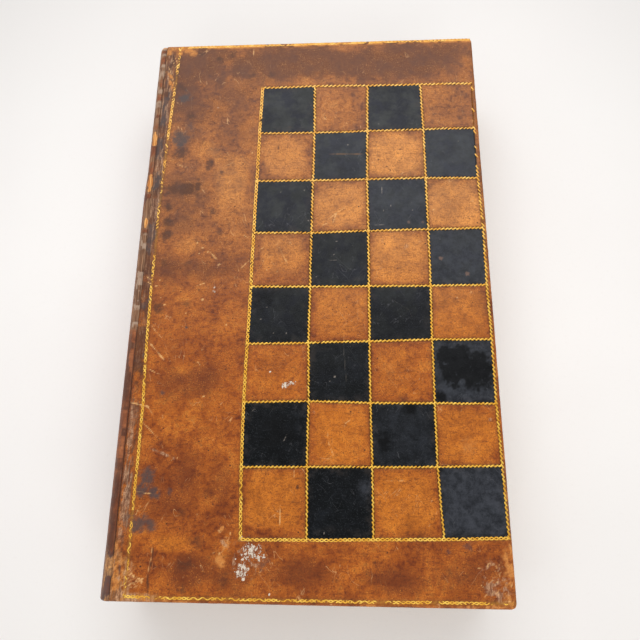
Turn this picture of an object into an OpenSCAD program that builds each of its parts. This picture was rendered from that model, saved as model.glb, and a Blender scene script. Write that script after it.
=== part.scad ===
// Book-form games box. Two shallow trays, each bound as a book, are hinged along the
// fore-edge (+X). Half a draughts board is let into each outer cover, and a backgammon
// board lines the trays inside. The rounded spines (-X) are the opening side.
// X runs from the spines to the hinges, Y along the book, Z up out of the top cover.
// The origin is at the middle of the box's footprint, on the surface it stands on.

/* [Board] */
// Side of one square of the draughts board
square_w = 44.5; // [40:0.5:48]
// Half width of a gilt line: the black squares stop this far short of the grid
gilt_half = 0.9; // [0.5:0.1:1.5]
// Plain strip of cover between the spine joint and the board
plain_strip = 85.4; // [70:0.2:100]
// Strip left between the board and the hinged edge
hinge_strip = 1.8; // [1:0.1:4]
// How far the board sits from the middle of the cover towards the tail
board_shift = 2.0; // [0:0.5:6]

/* [Tray] */
// Length of the covers from head to tail
cover_len = 444; // [400:1:500]
// Closed height of the box: two trays
closed_h = 76; // [70:1:90]
// Gap between the two rims when the box is shut
rim_gap = 0.3; // [0.2:0.1:0.6]
// Thickness of the wooden walls
wall_t = 8; // [6:0.5:10]
// How far the covers stand past the page edges at head and tail
overhang = 4; // [3.5:0.1:5]
// Corner radius of the covers
corner_r = 3.5; // [2:0.5:6]

/* [Binding] */
// Thickness of the cover leather
leather_t = 1.2; // [0.8:0.1:1.6]
// Thickness of the black leather squares
inlay_t = 0.6; // [0.4:0.1:0.7]
// Thickness of the cover board
board_t = 4; // [3:0.5:5]
// Thickness of the page-edge facings
page_t = 0.6; // [0.4:0.1:0.8]
// Thickness of the rim strips
rim_t = 3; // [2.5:0.1:4]
// Depth of the rounded spine past the joint, without its bands
spine_bulge = 9.6; // [7:0.2:12]
// Height of the raised bands at their middle
band_h = 1.3; // [0.6:0.1:2]
// Number of raised bands
band_n = 5; // [3:1:6]
// Width of a raised band
band_w = 7; // [4:0.5:10]

/* [Playing surface] */
// Thickness of the lining and of the points let into it
lining_t = 0.8; // [0.5:0.1:1.2]
// Length of a backgammon point
point_len = 160; // [120:5:180]
// Gap between neighbouring points at their feet
point_gap = 3; // [1:0.5:6]

/* [Hinges] */
// Length of a butt hinge
hinge_len = 40; // [32:1:60]
// Distance of each hinge from the middle of the fore-edge
hinge_at = 135; // [100:5:170]
// Width of a hinge leaf on the rim
leaf_w = 9.5; // [8:0.5:10]
// Thickness of a hinge leaf
leaf_t = 1.2; // [1:0.1:1.5]
// Outer radius of the knuckles
knuckle_r = 2.2; // [2:0.1:3]
// Radius of the hinge pin
hinge_pin_r = 1.1; // [0.8:0.05:1.3]
// How far the pin's axis stands outside the covers' edges
hinge_out = 0.35; // [0.3:0.05:0.8]

/* [Hook catches] */
// Distance of the hooks from the spine joint
hook_in = 24; // [18:1:40]
// Distance between a hook's pivot and the stud it catches
hook_len = 18; // [16:1:20]
// Thickness of the hook plate
hook_t = 1.3; // [1:0.1:1.5]
// Radius of the stud
stud_r = 1.2; // [1:0.1:1.5]

/* [Contents] */
// Diameter of a draughtsman
man_d = 34; // [28:1:38]
// Thickness of a draughtsman
man_t = 8; // [6:0.5:9]
// Outer radius of a dice cup's wall
cup_r = 21; // [18:0.5:24]
// Length of a dice cup
cup_len = 72; // [60:1:80]
// Thickness of a dice cup's wall
cup_t = 2; // [1.5:0.1:3]
// Side of a die
die_w = 11; // [8:0.5:13]

/* [Hidden] */
$fn = 64;

tan_c = [0.62, 0.33, 0.15];
spine_c = [0.42, 0.21, 0.11];
black_c = [0.13, 0.15, 0.17];
wood_c = [0.55, 0.38, 0.22];
page_c = [0.80, 0.72, 0.55];
brass_c = [0.72, 0.55, 0.24];

// cover outline and the levels of one tray, measured up from the outer face
cover_w = plain_strip + 4 * square_w + hinge_strip;
half_len = cover_len / 2;
tray_h = (closed_h - rim_gap) / 2;
x_out = hinge_out + knuckle_r;
total_x = cover_w + spine_bulge + band_h + x_out;
x_h = total_x / 2 - x_out;          // fore-edge of the covers
x_c = x_h - cover_w;                // spine joint of the covers
axis_x = x_h + hinge_out;           // hinge axis
axis_z = closed_h / 2;
z_board = leather_t;
z_floor = z_board + board_t;
z_play = z_floor + lining_t;
z_rim = tray_h - rim_t;

page_y = half_len - overhang;       // outer face of the page edges
wall_y = page_y - page_t;           // outer face of the head and tail walls
in_y = wall_y - wall_t;             // inner face
wall_xh = x_h - page_t;
in_xh = wall_xh - wall_t;
in_xs = x_c + wall_t;
in_w = in_xh - in_xs;

grid_x = x_h - hinge_strip - 4 * square_w;
grid_y = -4 * square_w - board_shift;

// spine arcs: the chord lies on the joint, 0.5 mm inside both faces of the tray
zc = tray_h / 2;
half_chord = zc - 0.5;
function arc_r(s) = (half_chord * half_chord + s * s) / (2 * s);
sp_r = arc_r(spine_bulge);
sp_x = x_c - spine_bulge + sp_r;
bd_r = arc_r(spine_bulge + band_h);
bd_x = x_c - spine_bulge - band_h + bd_r;

point_w = in_w / 6;

hook_x = x_c + hook_in;
pivot_z = axis_z + 10;
stud_z = pivot_z - hook_len;
hook_y0 = page_y + 0.35;            // inner face of the hook plates
hook_y1 = hook_y0 + hook_t;

// a plate with four rounded corners, lying on z = 0
module rounded_plate(x0, x1, y1, r, h) {
    linear_extrude(height = h) union() {
        translate([x0 + r, -y1]) square([x1 - x0 - 2 * r, 2 * y1]);
        translate([x0, -y1 + r]) square([x1 - x0, 2 * y1 - 2 * r]);
        for (x = [x0 + r, x1 - r], y = [-y1 + r, y1 - r]) translate([x, y]) circle(r = r);
    }
}

// the lid is the base turned over the parting plane
module as_lid() {
    translate([0, 0, closed_h]) mirror([0, 0, 1]) children();
}

// places of the black squares: colour 0 for the base, 1 for the lid
module on_black(c) {
    for (i = [0 : 3], j = [0 : 7])
        if ((i + j) % 2 == c)
            translate([grid_x + i * square_w, grid_y + j * square_w, 0]) children();
}

module black_square(z0, h, s) {
    translate([gilt_half - s, gilt_half - s, z0])
        cube([square_w - 2 * gilt_half + 2 * s, square_w - 2 * gilt_half + 2 * s, h]);
}

module cover_board() {
    color(wood_c) translate([0, 0, z_board])
        rounded_plate(x_c, x_h - leather_t, half_len - leather_t, corner_r - leather_t, board_t);
}

// leather turned over the board's edges, with turn-ins under the overhang at head and tail
module cover_leather(c) {
    color(tan_c) difference() {
        rounded_plate(x_c, x_h, half_len, corner_r, z_floor + 1);
        translate([0, 0, z_board])
            rounded_plate(x_c, x_h - leather_t, half_len - leather_t, corner_r - leather_t, board_t);
        translate([x_c - 1, -page_y, z_floor]) cube([cover_w + 2, 2 * page_y, 3]);
        on_black(c) black_square(-1, inlay_t + 1, 0);
    }
}

module black_squares(c) {
    color(black_c) on_black(c) black_square(0.05, inlay_t - 0.05, 0);
}

module end_wall(side) {
    color(wood_c) translate([x_c, side > 0 ? in_y : -wall_y, z_floor])
        cube([wall_xh - x_c, wall_t, z_rim - z_floor]);
}

module hinge_wall() {
    color(wood_c) difference() {
        translate([in_xh, -in_y, z_floor]) cube([wall_t, 2 * in_y, z_rim - z_floor]);
        screw_places() screw_shape(0.03);
    }
}

module spine_wall() {
    color(wood_c) translate([x_c, -in_y, z_floor]) cube([wall_t, 2 * in_y, z_rim - z_floor]);
}

module page_edges() {
    color(page_c) for (s = [-1, 1])
        difference() {
            translate([x_c, s > 0 ? wall_y : -page_y, z_floor])
                cube([cover_w, page_t, z_rim - z_floor]);
            hook_holes();
        }
    color(page_c) translate([wall_xh, -wall_y + 0.05, z_floor])
        cube([page_t, 2 * wall_y - 0.1, z_rim - z_floor]);
}

// thin leather-covered strips round the mouth of the tray: the inner boards of the book
module rim_end(side) {
    color(spine_c) translate([x_c, side > 0 ? in_y : -page_y, z_rim])
        cube([cover_w, page_y - in_y, rim_t]);
}

module rim_spine() {
    color(spine_c) translate([x_c, -in_y, z_rim]) cube([wall_t, 2 * in_y, rim_t]);
}

module rim_hinge() {
    color(spine_c) difference() {
        translate([in_xh, -in_y, z_rim]) cube([x_h - in_xh, 2 * in_y, rim_t]);
        hinge_seats();
        screw_places() screw_shape(0.03);
    }
}

module spine_block() {
    color(wood_c) translate([0, half_len - 1.2, 0]) rotate([90, 0, 0])
        linear_extrude(height = cover_len - 2.4) intersection() {
            translate([sp_x, zc]) circle(r = sp_r - 1, $fn = 128);
            translate([x_c - 20, 0]) square([20, tray_h]);
        }
}

// segment of a circle of radius r about x, on the spine side of the joint
module spine_section(x, r) {
    intersection() {
        translate([x, zc]) circle(r = r, $fn = 128);
        translate([x_c - 20, 0]) square([20, tray_h]);
    }
}

module spine_slice(y0, y1, x, r) {
    translate([0, y1, 0]) rotate([90, 0, 0])
        linear_extrude(height = y1 - y0) spine_section(x, r);
}

// one skin over the block and its two ends
module spine_leather() {
    color(spine_c) difference() {
        spine_slice(-half_len, half_len, sp_x, sp_r);
        spine_slice(-half_len + 1.2, half_len - 1.2, sp_x, sp_r - 1);
    }
}

// a strip of the spine between radius r0 and the arc of radius r1 about x1, z0 clear of the joint
module spine_strip(y0, y1, r0, x1, r1, z0) {
    translate([0, y1, 0]) rotate([90, 0, 0]) linear_extrude(height = y1 - y0) difference() {
        intersection() {
            translate([x1, zc]) circle(r = r1, $fn = 128);
            translate([x_c - 20, zc - half_chord + z0]) square([20, 2 * (half_chord - z0)]);
        }
        translate([sp_x, zc]) circle(r = r0, $fn = 128);
    }
}

module raised_bands() {
    color(spine_c) for (k = [1 : band_n]) {
        y = -half_len + k * cover_len / (band_n + 1);
        spine_strip(y - band_w / 2, y + band_w / 2, sp_r + 0.02, bd_x, bd_r, 1.6);
    }
}

// label panels fill the second space from each end of the spine
label_hl = cover_len / (band_n + 1) / 2 - band_w / 2 - 6;
module spine_labels() {
    color([0.35, 0.09, 0.07]) for (s = [-1, 1]) {
        y = s * (half_len - 1.5 * cover_len / (band_n + 1));
        spine_strip(y - label_hl, y + label_hl, sp_r + 0.02, sp_x, sp_r + 0.3, 5.5);
    }
}

module tri(x, s) {
    // one point, its foot at the head (s = 1) or tail (s = -1) wall
    y0 = s * (in_y - 1.5);
    polygon([[x + point_gap / 2, y0], [x + point_w - point_gap / 2, y0],
             [x + point_w / 2, y0 - s * point_len]]);
}

// points of one colour: colours alternate along each wall and change across the board
module points_2d(c) {
    for (i = [0 : 5], s = [-1, 1])
        if ((i + (s > 0 ? 1 : 0)) % 2 == c) tri(in_xs + i * point_w, s);
}

module lining() {
    color([0.45, 0.22, 0.11]) translate([0, 0, z_floor]) linear_extrude(height = lining_t)
        difference() {
            translate([in_xs, -in_y]) square([in_w, 2 * in_y]);
            points_2d(0);
            points_2d(1);
        }
}

module points(c) {
    color(c == 0 ? black_c : [0.78, 0.60, 0.36]) translate([0, 0, z_floor])
        linear_extrude(height = lining_t) points_2d(c);
}

// ---- butt hinges, drawn for the base; the lid's half is their mirror image ----
seg = hinge_len / 5;
kgap = 0.15;

module hinge_seats() {
    for (y = [-hinge_at, hinge_at]) {
        // bed of the leaf
        translate([x_h - leaf_w - 0.1, y - hinge_len / 2 - 0.1, tray_h - leaf_t])
            cube([leaf_w + 5, hinge_len + 0.2, leaf_t + 5]);
        // room for the knuckles
        translate([axis_x, y - hinge_len / 2 - 0.4, axis_z]) rotate([-90, 0, 0])
            cylinder(r = knuckle_r + 0.3, h = hinge_len + 0.8);
    }
}

module screw_places() {
    for (y = [-hinge_at, hinge_at], k = [-1, 0, 1])
        translate([x_h - 5 - (k == 0 ? 1.4 : 0), y + k * 14.5, tray_h]) children();
}

module screw_shape(c) {
    translate([0, 0, -1 - c]) cylinder(r1 = 0.95 + c, r2 = 1.95 + c, h = 1 + c, $fn = 48);
    translate([0, 0, -13]) cylinder(r = 0.95 + c, h = 12.2, $fn = 48);
}

module screws() {
    color(brass_c) screw_places() difference() {
        screw_shape(0);
        translate([-2.5, -0.25, -0.35]) cube([5, 0.5, 1]);
    }
}

// odd: knuckles 1, 3, 5; even: knuckles 2, 4
module leaf(y, odd, bore) {
    ks = odd ? [0, 2, 4] : [1, 3];
    no = odd ? [1, 3] : [0, 2, 4];
    translate([0, y - hinge_len / 2, 0]) difference() {
        union() {
            translate([x_h - leaf_w, 0, tray_h - leaf_t]) cube([leaf_w + hinge_out, hinge_len, leaf_t]);
            for (k = ks)
                translate([axis_x, k * seg + (k == 0 ? 0 : kgap), axis_z]) rotate([-90, 0, 0])
                    cylinder(r = knuckle_r, h = seg - (k == 0 || k == 4 ? kgap : 2 * kgap), $fn = 64);
        }
        for (k = no)
            translate([axis_x, k * seg - kgap, axis_z]) rotate([-90, 0, 0])
                cylinder(r = knuckle_r + 0.3, h = seg + 2 * kgap, $fn = 64);
        translate([axis_x, -1, axis_z]) rotate([-90, 0, 0]) cylinder(r = bore, h = hinge_len + 2, $fn = 48);
    }
}

module hinge_leaves(odd, bore) {
    color(brass_c) difference() {
        union() for (y = [-hinge_at, hinge_at]) leaf(y, odd, bore);
        screw_places() screw_shape(0.03);
    }
}

module hinge_pins() {
    color(brass_c) for (y = [-hinge_at, hinge_at])
        translate([axis_x, y - hinge_len / 2, axis_z]) rotate([-90, 0, 0])
            cylinder(r = hinge_pin_r, h = hinge_len, $fn = 48);
}

// ---- hook catches ----
// the stud and pivot holes in the walls and facings, for the tray they lie in
module hook_holes() {
    for (s = [-1, 1])
        translate([hook_x, s * (page_y - 4), stud_z]) rotate([90, 0, 0])
            cylinder(r = stud_r + 0.03, h = 20, center = true, $fn = 48);
}

module hook_plate() {
    // drawn in the X-Z plane about its pivot, pointing along +X, jaw open towards -Z
    difference() {
        union() {
            circle(r = 3.2);
            translate([0, -1.5]) square([hook_len - 2, 3]);
            translate([hook_len, 0]) circle(r = 3.6);
        }
        circle(r = 1.3, $fn = 48);
        translate([hook_len, 0]) circle(r = stud_r + 0.4, $fn = 48);
        translate([hook_len - stud_r - 0.75, -5]) square([2 * stud_r + 1.15, 5]);
    }
}

module hook(s) {
    color(brass_c)
        translate([hook_x, s > 0 ? hook_y1 : -hook_y0, pivot_z]) rotate([90, 0, 0])
            linear_extrude(height = hook_t) hook_plate();
}

module hook_pivot_screws() {
    color(brass_c) for (s = [-1, 1])
        translate([hook_x, 0, pivot_z]) rotate([s > 0 ? -90 : 90, 0, 0]) difference() {
            union() {
                translate([0, 0, wall_y - 6]) cylinder(r = 1.25, h = hook_y1 + 0.6 - wall_y + 6, $fn = 48);
                translate([0, 0, hook_y1 + 0.3]) cylinder(r = 2.6, h = 0.9, $fn = 48);
            }
            translate([-3, -0.3, hook_y1 + 0.8]) cube([6, 0.6, 1]);
        }
}

module hook_studs() {
    color(brass_c) for (s = [-1, 1])
        translate([hook_x, 0, stud_z]) rotate([s > 0 ? -90 : 90, 0, 0]) {
            translate([0, 0, wall_y - 6]) cylinder(r = stud_r, h = hook_y1 + 0.6 - wall_y + 6, $fn = 48);
            translate([0, 0, hook_y1 + 0.3]) cylinder(r = 2.1, h = 0.8, $fn = 48);
        }
}

// holes bored for studs (base) or pivots (lid) in the head and tail walls
module bored_wall(side, r, z) {
    difference() {
        end_wall(side);
        translate([hook_x, side * (wall_y - 2), z]) rotate([90, 0, 0])
            cylinder(r = r + 0.03, h = 2 * 5.2, center = true, $fn = 48);
    }
}

module lid_page_edges() {
    // as the base's, bored at the pivots instead
    color(page_c) for (s = [-1, 1])
        difference() {
            translate([x_c, s > 0 ? wall_y : -page_y, z_floor])
                cube([cover_w, page_t, z_rim - z_floor]);
            translate([hook_x, s * page_y, closed_h - pivot_z]) rotate([90, 0, 0])
                cylinder(r = 1.28, h = 6, center = true, $fn = 48);
        }
    color(page_c) translate([wall_xh, -wall_y + 0.05, z_floor])
        cube([page_t, 2 * wall_y - 0.1, z_rim - z_floor]);
}

// ---- contents, lying on the base's lining ----
module man() {
    rotate_extrude($fn = 64) polygon([[0, 0], [man_d / 2 - 0.6, 0], [man_d / 2, 0.6],
        [man_d / 2, man_t - 0.6], [man_d / 2 - 0.6, man_t], [man_d / 2 - 3.2, man_t],
        [man_d / 2 - 4, man_t - 0.7], [0, man_t - 0.7]]);
}

// five stacks of three along the head (s = 1) or tail (s = -1) wall
module men(s, c) {
    color(c) for (i = [0 : 4], k = [0 : 2])
        translate([in_xs + (i + 0.5) * point_w, s * (in_y - man_d / 2 - 2),
                   z_play + k * (man_t + 0.04)]) man();
}

module cup_wall() {
    // axis along z from the bottom of the cup to its mouth, with a ring at each end
    rotate_extrude($fn = 96) difference() {
        union() {
            square([cup_r, cup_len]);
            square([cup_r + 1, 5]);
            translate([0, cup_len - 4]) square([cup_r + 1, 4]);
        }
        translate([-1, -1]) square([cup_r - cup_t + 1, cup_len + 2]);
    }
}

module cup_bottom() {
    translate([0, 0, 1]) cylinder(r = cup_r - cup_t, h = 3, $fn = 96);
}

cup_z = z_play + cup_r + 1.02;
// cup a lies along Y with its mouth to the head, cup b along Y with its mouth to the tail
cup_ax = in_xs + 36;
module place_cup_a() { translate([cup_ax, -130, cup_z]) rotate([-90, 0, 0]) children(); }
module place_cup_b() { translate([cup_ax + 12, 132, cup_z]) rotate([90, 0, 0]) children(); }

module die() {
    intersection() {
        cube([die_w, die_w, die_w], center = true);
        sphere(r = die_w * 0.74, $fn = 48);
    }
}

module dice() {
    color([0.88, 0.83, 0.70]) {
        translate([cup_ax - 17, -27, z_play + die_w / 2]) rotate([0, 0, 24]) die();
        translate([cup_ax + 3, -17, z_play + die_w / 2]) rotate([0, 0, -12]) die();
        translate([cup_ax - 13, 8, z_play + die_w / 2]) rotate([0, 0, 40]) die();
        translate([cup_ax + 13, 22, z_play + die_w / 2]) rotate([0, 0, 8]) die();
    }
}

cover_board();  // base_cover_board
cover_leather(0);  // base_cover_leather
black_squares(0);  // base_black_squares
bored_wall(1, stud_r, stud_z);  // base_head_wall
bored_wall(-1, stud_r, stud_z);  // base_tail_wall
hinge_wall();  // base_hinge_wall
spine_wall();  // base_spine_wall
page_edges();  // base_page_edges
rim_end(1);  // base_rim_head
rim_end(-1);  // base_rim_tail
rim_spine();  // base_rim_spine
rim_hinge();  // base_rim_hinge
spine_block();  // base_spine_block
spine_leather();  // base_spine_leather
raised_bands();  // base_raised_bands
spine_labels();  // base_spine_labels
lining();  // base_lining
points(0);  // base_dark_points
points(1);  // base_light_points
as_lid() cover_board();  // lid_cover_board
as_lid() cover_leather(1);  // lid_cover_leather
as_lid() black_squares(1);  // lid_black_squares
as_lid() bored_wall(1, 1.25, closed_h - pivot_z);  // lid_head_wall
as_lid() bored_wall(-1, 1.25, closed_h - pivot_z);  // lid_tail_wall
as_lid() hinge_wall();  // lid_hinge_wall
as_lid() spine_wall();  // lid_spine_wall
as_lid() lid_page_edges();
as_lid() rim_end(1);  // lid_rim_head
as_lid() rim_end(-1);  // lid_rim_tail
as_lid() rim_spine();  // lid_rim_spine
as_lid() rim_hinge();  // lid_rim_hinge
as_lid() spine_block();  // lid_spine_block
as_lid() spine_leather();  // lid_spine_leather
as_lid() raised_bands();  // lid_raised_bands
as_lid() spine_labels();  // lid_spine_labels
as_lid() lining();  // lid_lining
as_lid() points(0);  // lid_dark_points
as_lid() points(1);  // lid_light_points
hinge_leaves(true, hinge_pin_r + 0.02);  // hinge_leaves_base
as_lid() hinge_leaves(false, hinge_pin_r + 0.06);  // hinge_leaves_lid
hinge_pins();
screws();  // hinge_screws_base
as_lid() screws();  // hinge_screws_lid
hook(1);  // head_hook
hook(-1);  // tail_hook
hook_pivot_screws();
hook_studs();
men(-1, [0.10, 0.08, 0.07]);  // dark_men
men(1, [0.80, 0.64, 0.40]);  // light_men
color(spine_c) place_cup_a() cup_wall();  // dice_cup_a_wall
color(black_c) place_cup_a() cup_bottom();  // dice_cup_a_bottom
color(spine_c) place_cup_b() cup_wall();  // dice_cup_b_wall
color(black_c) place_cup_b() cup_bottom();  // dice_cup_b_bottom
dice();
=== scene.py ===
"""Looks of the games compendium box: leather covers with the half draughts board and gilt
tooling, rounded spines, page edges, the lined trays with the points, and what the box holds."""

import math

import bpy
import numpy as np
from mathutils import Matrix, Vector


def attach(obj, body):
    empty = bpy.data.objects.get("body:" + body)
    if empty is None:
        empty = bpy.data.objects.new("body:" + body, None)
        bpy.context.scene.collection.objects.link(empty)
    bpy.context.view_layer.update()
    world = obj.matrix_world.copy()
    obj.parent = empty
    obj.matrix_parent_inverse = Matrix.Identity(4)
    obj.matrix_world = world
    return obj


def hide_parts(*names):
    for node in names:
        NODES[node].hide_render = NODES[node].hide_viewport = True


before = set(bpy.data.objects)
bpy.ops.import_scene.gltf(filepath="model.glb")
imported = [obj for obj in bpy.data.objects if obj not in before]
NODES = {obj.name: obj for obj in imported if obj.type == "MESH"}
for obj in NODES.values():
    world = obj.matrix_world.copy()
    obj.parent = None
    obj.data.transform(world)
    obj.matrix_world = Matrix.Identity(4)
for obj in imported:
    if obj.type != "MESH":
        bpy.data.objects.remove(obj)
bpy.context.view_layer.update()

# ---------------------------------------------------------------- sizes, in mm
X_C, X_H, HALF = -128.425, 136.775, 222.0
CLOSED = 76.0
G0X, G0Y, SQ = -43.025, -180.0, 44.5
G4X, G8Y = G0X + 4 * SQ, G0Y + 8 * SQ
RHO, R_COR = 1.8, 3.5
POCKET = 0.72


def sxy(a, b):
    """Square coordinates to mm."""
    return G0X + SQ * a, G0Y + SQ * b


# ---------------------------------------------------------------- noise
def _hash(i, j, k, seed):
    n = (
        i.astype(np.int64).astype(np.uint64) * np.uint64(73856093)
        ^ j.astype(np.int64).astype(np.uint64) * np.uint64(19349663)
        ^ k.astype(np.int64).astype(np.uint64) * np.uint64(83492791)
        ^ np.uint64(seed * 2654435 + 12345)
    )
    n &= np.uint64(0xFFFFFFFF)
    n = ((n ^ (n >> np.uint64(15))) * np.uint64(2246822519)) & np.uint64(0xFFFFFFFF)
    n = ((n ^ (n >> np.uint64(13))) * np.uint64(3266489917)) & np.uint64(0xFFFFFFFF)
    n = n ^ (n >> np.uint64(16))
    return n.astype(np.float64) / 4294967295.0


def vnoise(x, y, seed=0):
    """Smooth value noise, 0 to 1, one lattice step per unit."""
    x, y = np.asarray(x, float), np.asarray(y, float)
    i, j = np.floor(x), np.floor(y)
    u, v = x - i, y - j
    u, v = u * u * (3 - 2 * u), v * v * (3 - 2 * v)
    z = np.zeros_like(i)
    a, b = _hash(i, j, z, seed), _hash(i + 1, j, z, seed)
    c, d = _hash(i, j + 1, z, seed), _hash(i + 1, j + 1, z, seed)
    return (a * (1 - u) + b * u) * (1 - v) + (c * (1 - u) + d * u) * v


def fbm(x, y, seed=0, octaves=4, gain=0.5):
    total, amp, norm, f = 0.0, 1.0, 0.0, 1.0
    for o in range(octaves):
        total = total + amp * vnoise(np.asarray(x) * f + 17.3 * o, np.asarray(y) * f - 9.1 * o, seed + 31 * o)
        norm += amp
        amp *= gain
        f *= 2.03
    return total / norm


def sstep(a, b, x):
    t = np.clip((np.asarray(x, float) - a) / (b - a), 0, 1)
    return t * t * (3 - 2 * t)


# ---------------------------------------------------------------- meshes
def volume(V, faces):
    total = 0.0
    for f in faces:
        a = V[f[:, 0]]
        for k in range(1, f.shape[1] - 1):
            total += float(np.einsum("ij,ij->i", a, np.cross(V[f[:, k]], V[f[:, k + 1]])).sum())
    return total


def piece(name, V, faces, body, mat, lid=None, hides=(), smooth=True, attrs=None, uvs=None, sharp=None):
    """One mesh piece from vertices in mm. lid True or False: V's third number is a depth below that
    cover's outer face; lid None: plain CAD millimetres. faces is a list of (m, k) index arrays."""
    V = np.array(V, float).reshape(-1, 3)
    if lid:
        V[:, 2] = CLOSED - V[:, 2]
    faces = [np.asarray(f, np.int64) for f in faces if len(f)]
    uvs = list(uvs) if uvs is not None else None
    if volume(V - V.mean(0), faces) < 0:
        faces = [f[:, ::-1] for f in faces]
        if uvs is not None:
            uvs = [u[:, ::-1] for u in uvs]
    me = bpy.data.meshes.new(name)
    loops = np.concatenate([f.ravel() for f in faces])
    sizes = np.concatenate([np.full(len(f), f.shape[1]) for f in faces])
    starts = np.concatenate([[0], np.cumsum(sizes)[:-1]])
    me.vertices.add(len(V))
    me.vertices.foreach_set("co", (V * 0.001).astype(np.float32).ravel())
    me.loops.add(len(loops))
    me.loops.foreach_set("vertex_index", loops.astype(np.int32))
    me.polygons.add(len(sizes))
    me.polygons.foreach_set("loop_start", starts.astype(np.int32))
    me.update(calc_edges=True)
    me.validate()
    me.polygons.foreach_set("use_smooth", np.full(len(me.polygons), bool(smooth)))
    for key, values in (attrs or {}).items():
        a = me.attributes.new(key, "FLOAT", "POINT")
        a.data.foreach_set("value", np.asarray(values, np.float32))
    if uvs is not None and len(me.loops) == len(loops):
        layer = me.uv_layers.new(name="OFBake")
        flat = np.concatenate([u.reshape(-1, 2) for u in uvs]).astype(np.float32)
        layer.data.foreach_set("uv", flat.ravel())
    if sharp is not None:
        me.set_sharp_from_angle(angle=math.radians(sharp))
    ob = bpy.data.objects.new(name, me)
    bpy.context.scene.collection.objects.link(ob)
    me.materials.append(mat)
    if body:
        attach(ob, body)
    if hides:
        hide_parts(*hides)
    return ob


def grid_faces(nu, nv, base=0, wrap=False):
    """Quads of a nu by nv vertex grid, index = base + iu * nv + iv; wrap joins the last iv to the first."""
    iu = np.arange(nu - 1)[:, None]
    iv = np.arange(nv if wrap else nv - 1)[None, :]
    jv = (iv + 1) % nv
    return np.stack(
        [base + iu * nv + iv, base + (iu + 1) * nv + iv, base + (iu + 1) * nv + jv, base + iu * nv + jv], -1
    ).reshape(-1, 4)


def seg_dist(px, py, pts):
    """Distance to a polyline, and how far along it (0 to 1) the nearest point lies."""
    best = np.full(np.shape(px), 1e9)
    along = np.zeros(np.shape(px))
    lengths = [math.dist(pts[k], pts[k + 1]) for k in range(len(pts) - 1)]
    total, run = sum(lengths) or 1.0, 0.0
    for k, length in enumerate(lengths):
        (ax, ay), (bx, by) = pts[k], pts[k + 1]
        t = np.clip(((px - ax) * (bx - ax) + (py - ay) * (by - ay)) / max(length**2, 1e-12), 0, 1)
        d = np.hypot(px - ax - t * (bx - ax), py - ay - t * (by - ay))
        near = d < best
        best = np.where(near, d, best)
        along = np.where(near, (run + t * length) / total, along)
        run += length
    return best, along


# ---------------------------------------------------------------- materials
def lin(r, g, b):
    """An sRGB colour, 0 to 255, as linear."""
    out = []
    for c in (r, g, b):
        c /= 255.0
        out.append(c / 12.92 if c <= 0.04045 else ((c + 0.055) / 1.055) ** 2.4)
    return (*out, 1.0)


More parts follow.
